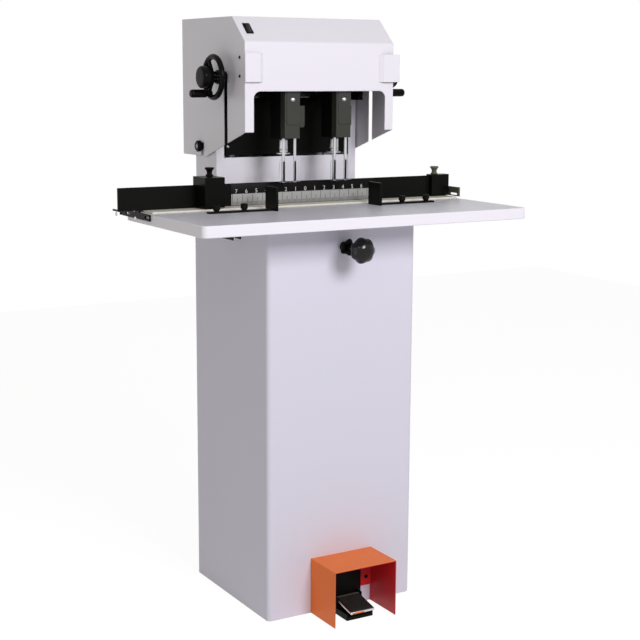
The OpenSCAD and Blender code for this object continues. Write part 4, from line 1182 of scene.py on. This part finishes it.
tread = {               # mm from the hinge, drawn level and then tipped by the slope
    "slope": 10.8,
    "pan": ((-31, -69, -1.8), (31, 0, 3.6), 0.8),       # two corners and the edges' radius
    # a thin orange strip on the left half of the pan's front edge: a painted reflection of the orange foot
    # guard
    "reflectionPatch": ((-27, -69.25, -1.2), (4, -68.6, 2.6), 0.1),
    "mat": ((-29.5, -67, 3.2), (29.5, -2, 5.4), 0.6),
    "ribs": 15, "ribStart": (0, -64, 5), "ribStep": (0, 4.1, 0), "ribSize": (56, 2.2, 2),
    "barrel": [(-31, 0), (-31, 5.6), (31, 5.6), (31, 0)],
    "pin": [(-34.6, 0), (-34.6, 2.9), (34.6, 2.9), (34.6, 0)],
}


def makeTreadle():
    turn = Matrix.Translation(pivot["treadle_press"]) @ Matrix.Rotation(radians(tread["slope"]), 4, "X")
    pan, reflectionPatch, mat = (block(inMm(low), inMm(high), radius)
                       for low, high, radius in (tread["pan"], tread["reflectionPatch"], tread["mat"]))
    barrel = turned(tread["barrel"], (0, 0, 0), (1, 0, 0), radius=0.8)
    pin = turned(tread["pin"], (0, 0, 0), (1, 0, 0), radius=0.4)
    ribs = grown("row", "treadRubber", {
        "Count": tread["ribs"], "Start": inMm(tread["ribStart"]), "Step": inMm(tread["ribStep"]),
        "Size": inMm(tread["ribSize"])})
    parts = [pan, barrel, pin, reflectionPatch, mat, ribs]
    for mesh in parts:
        mesh.transform(turn)
    # the orange strip takes the guard's paint as a painted reflection
    looks = ("treadSteel", "castIron", "brightSteel", "orangePaint", "treadRubber")
    piece = joined("treadle_plate", parts, *looks)
    given(piece, "pedal", "treadle_iron", "treadle")


spring = {"wire": 1.0, "turns": 5, "around": 24, "section": 8}     # the wire's radius in mm, and counts


def makeSpring():
    low, high, centre = boxOf("treadle_spring")
    wireRadius = spring["wire"] * mm
    radius = (high.x - low.x) / 2 - wireRadius
    count = spring["turns"] * spring["around"]
    work = bmesh.new()
    rings = []
    for n in range(count + 1):
        a = 2 * pi * n / spring["around"]
        height = low.z + wireRadius + (high.z - low.z - 2 * wireRadius) * n / count
        middle = Vector((centre.x + radius * cos(a), centre.y + radius * sin(a), height))
        out = Vector((cos(a), sin(a), 0))
        section = [out * cos(b) + Vector((0, 0, sin(b))) for b in angles(spring["section"])]
        rings.append([work.verts.new(middle + reach * wireRadius) for reach in section])
    mesh = smoothed(skinned(work, rings, "coil", caps=(rings[0], rings[-1])), 60)
    coil = given(addPiece("treadleSpring", mesh, "brightSteel"), "root", "bright_steel", "treadle_spring")
    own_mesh(coil)


makeTreadle()
makeSpring()
print("foot pedal made")


# nodes that keep their own mesh

kept = {
    "guide_posts": "chromeRod", "lift_cylinder": "castIron", "cylinder_rod": "chromeRod",
    "oil_tank": "castIron", "pump_motor": "castIron", "pressure_pipe": "brightSteel",
    "slide_bars": "barSteel",
    "shield_rods_left": "chromeRod", "shield_rods_right": "chromeRod",
}


def dressKept():
    for node, look in kept.items():
        mesh = frame["nodes"][node].data
        mesh.materials.clear()
        mesh.materials.append(paints[look])


dressKept()
print("kept nodes dressed:", len(kept))
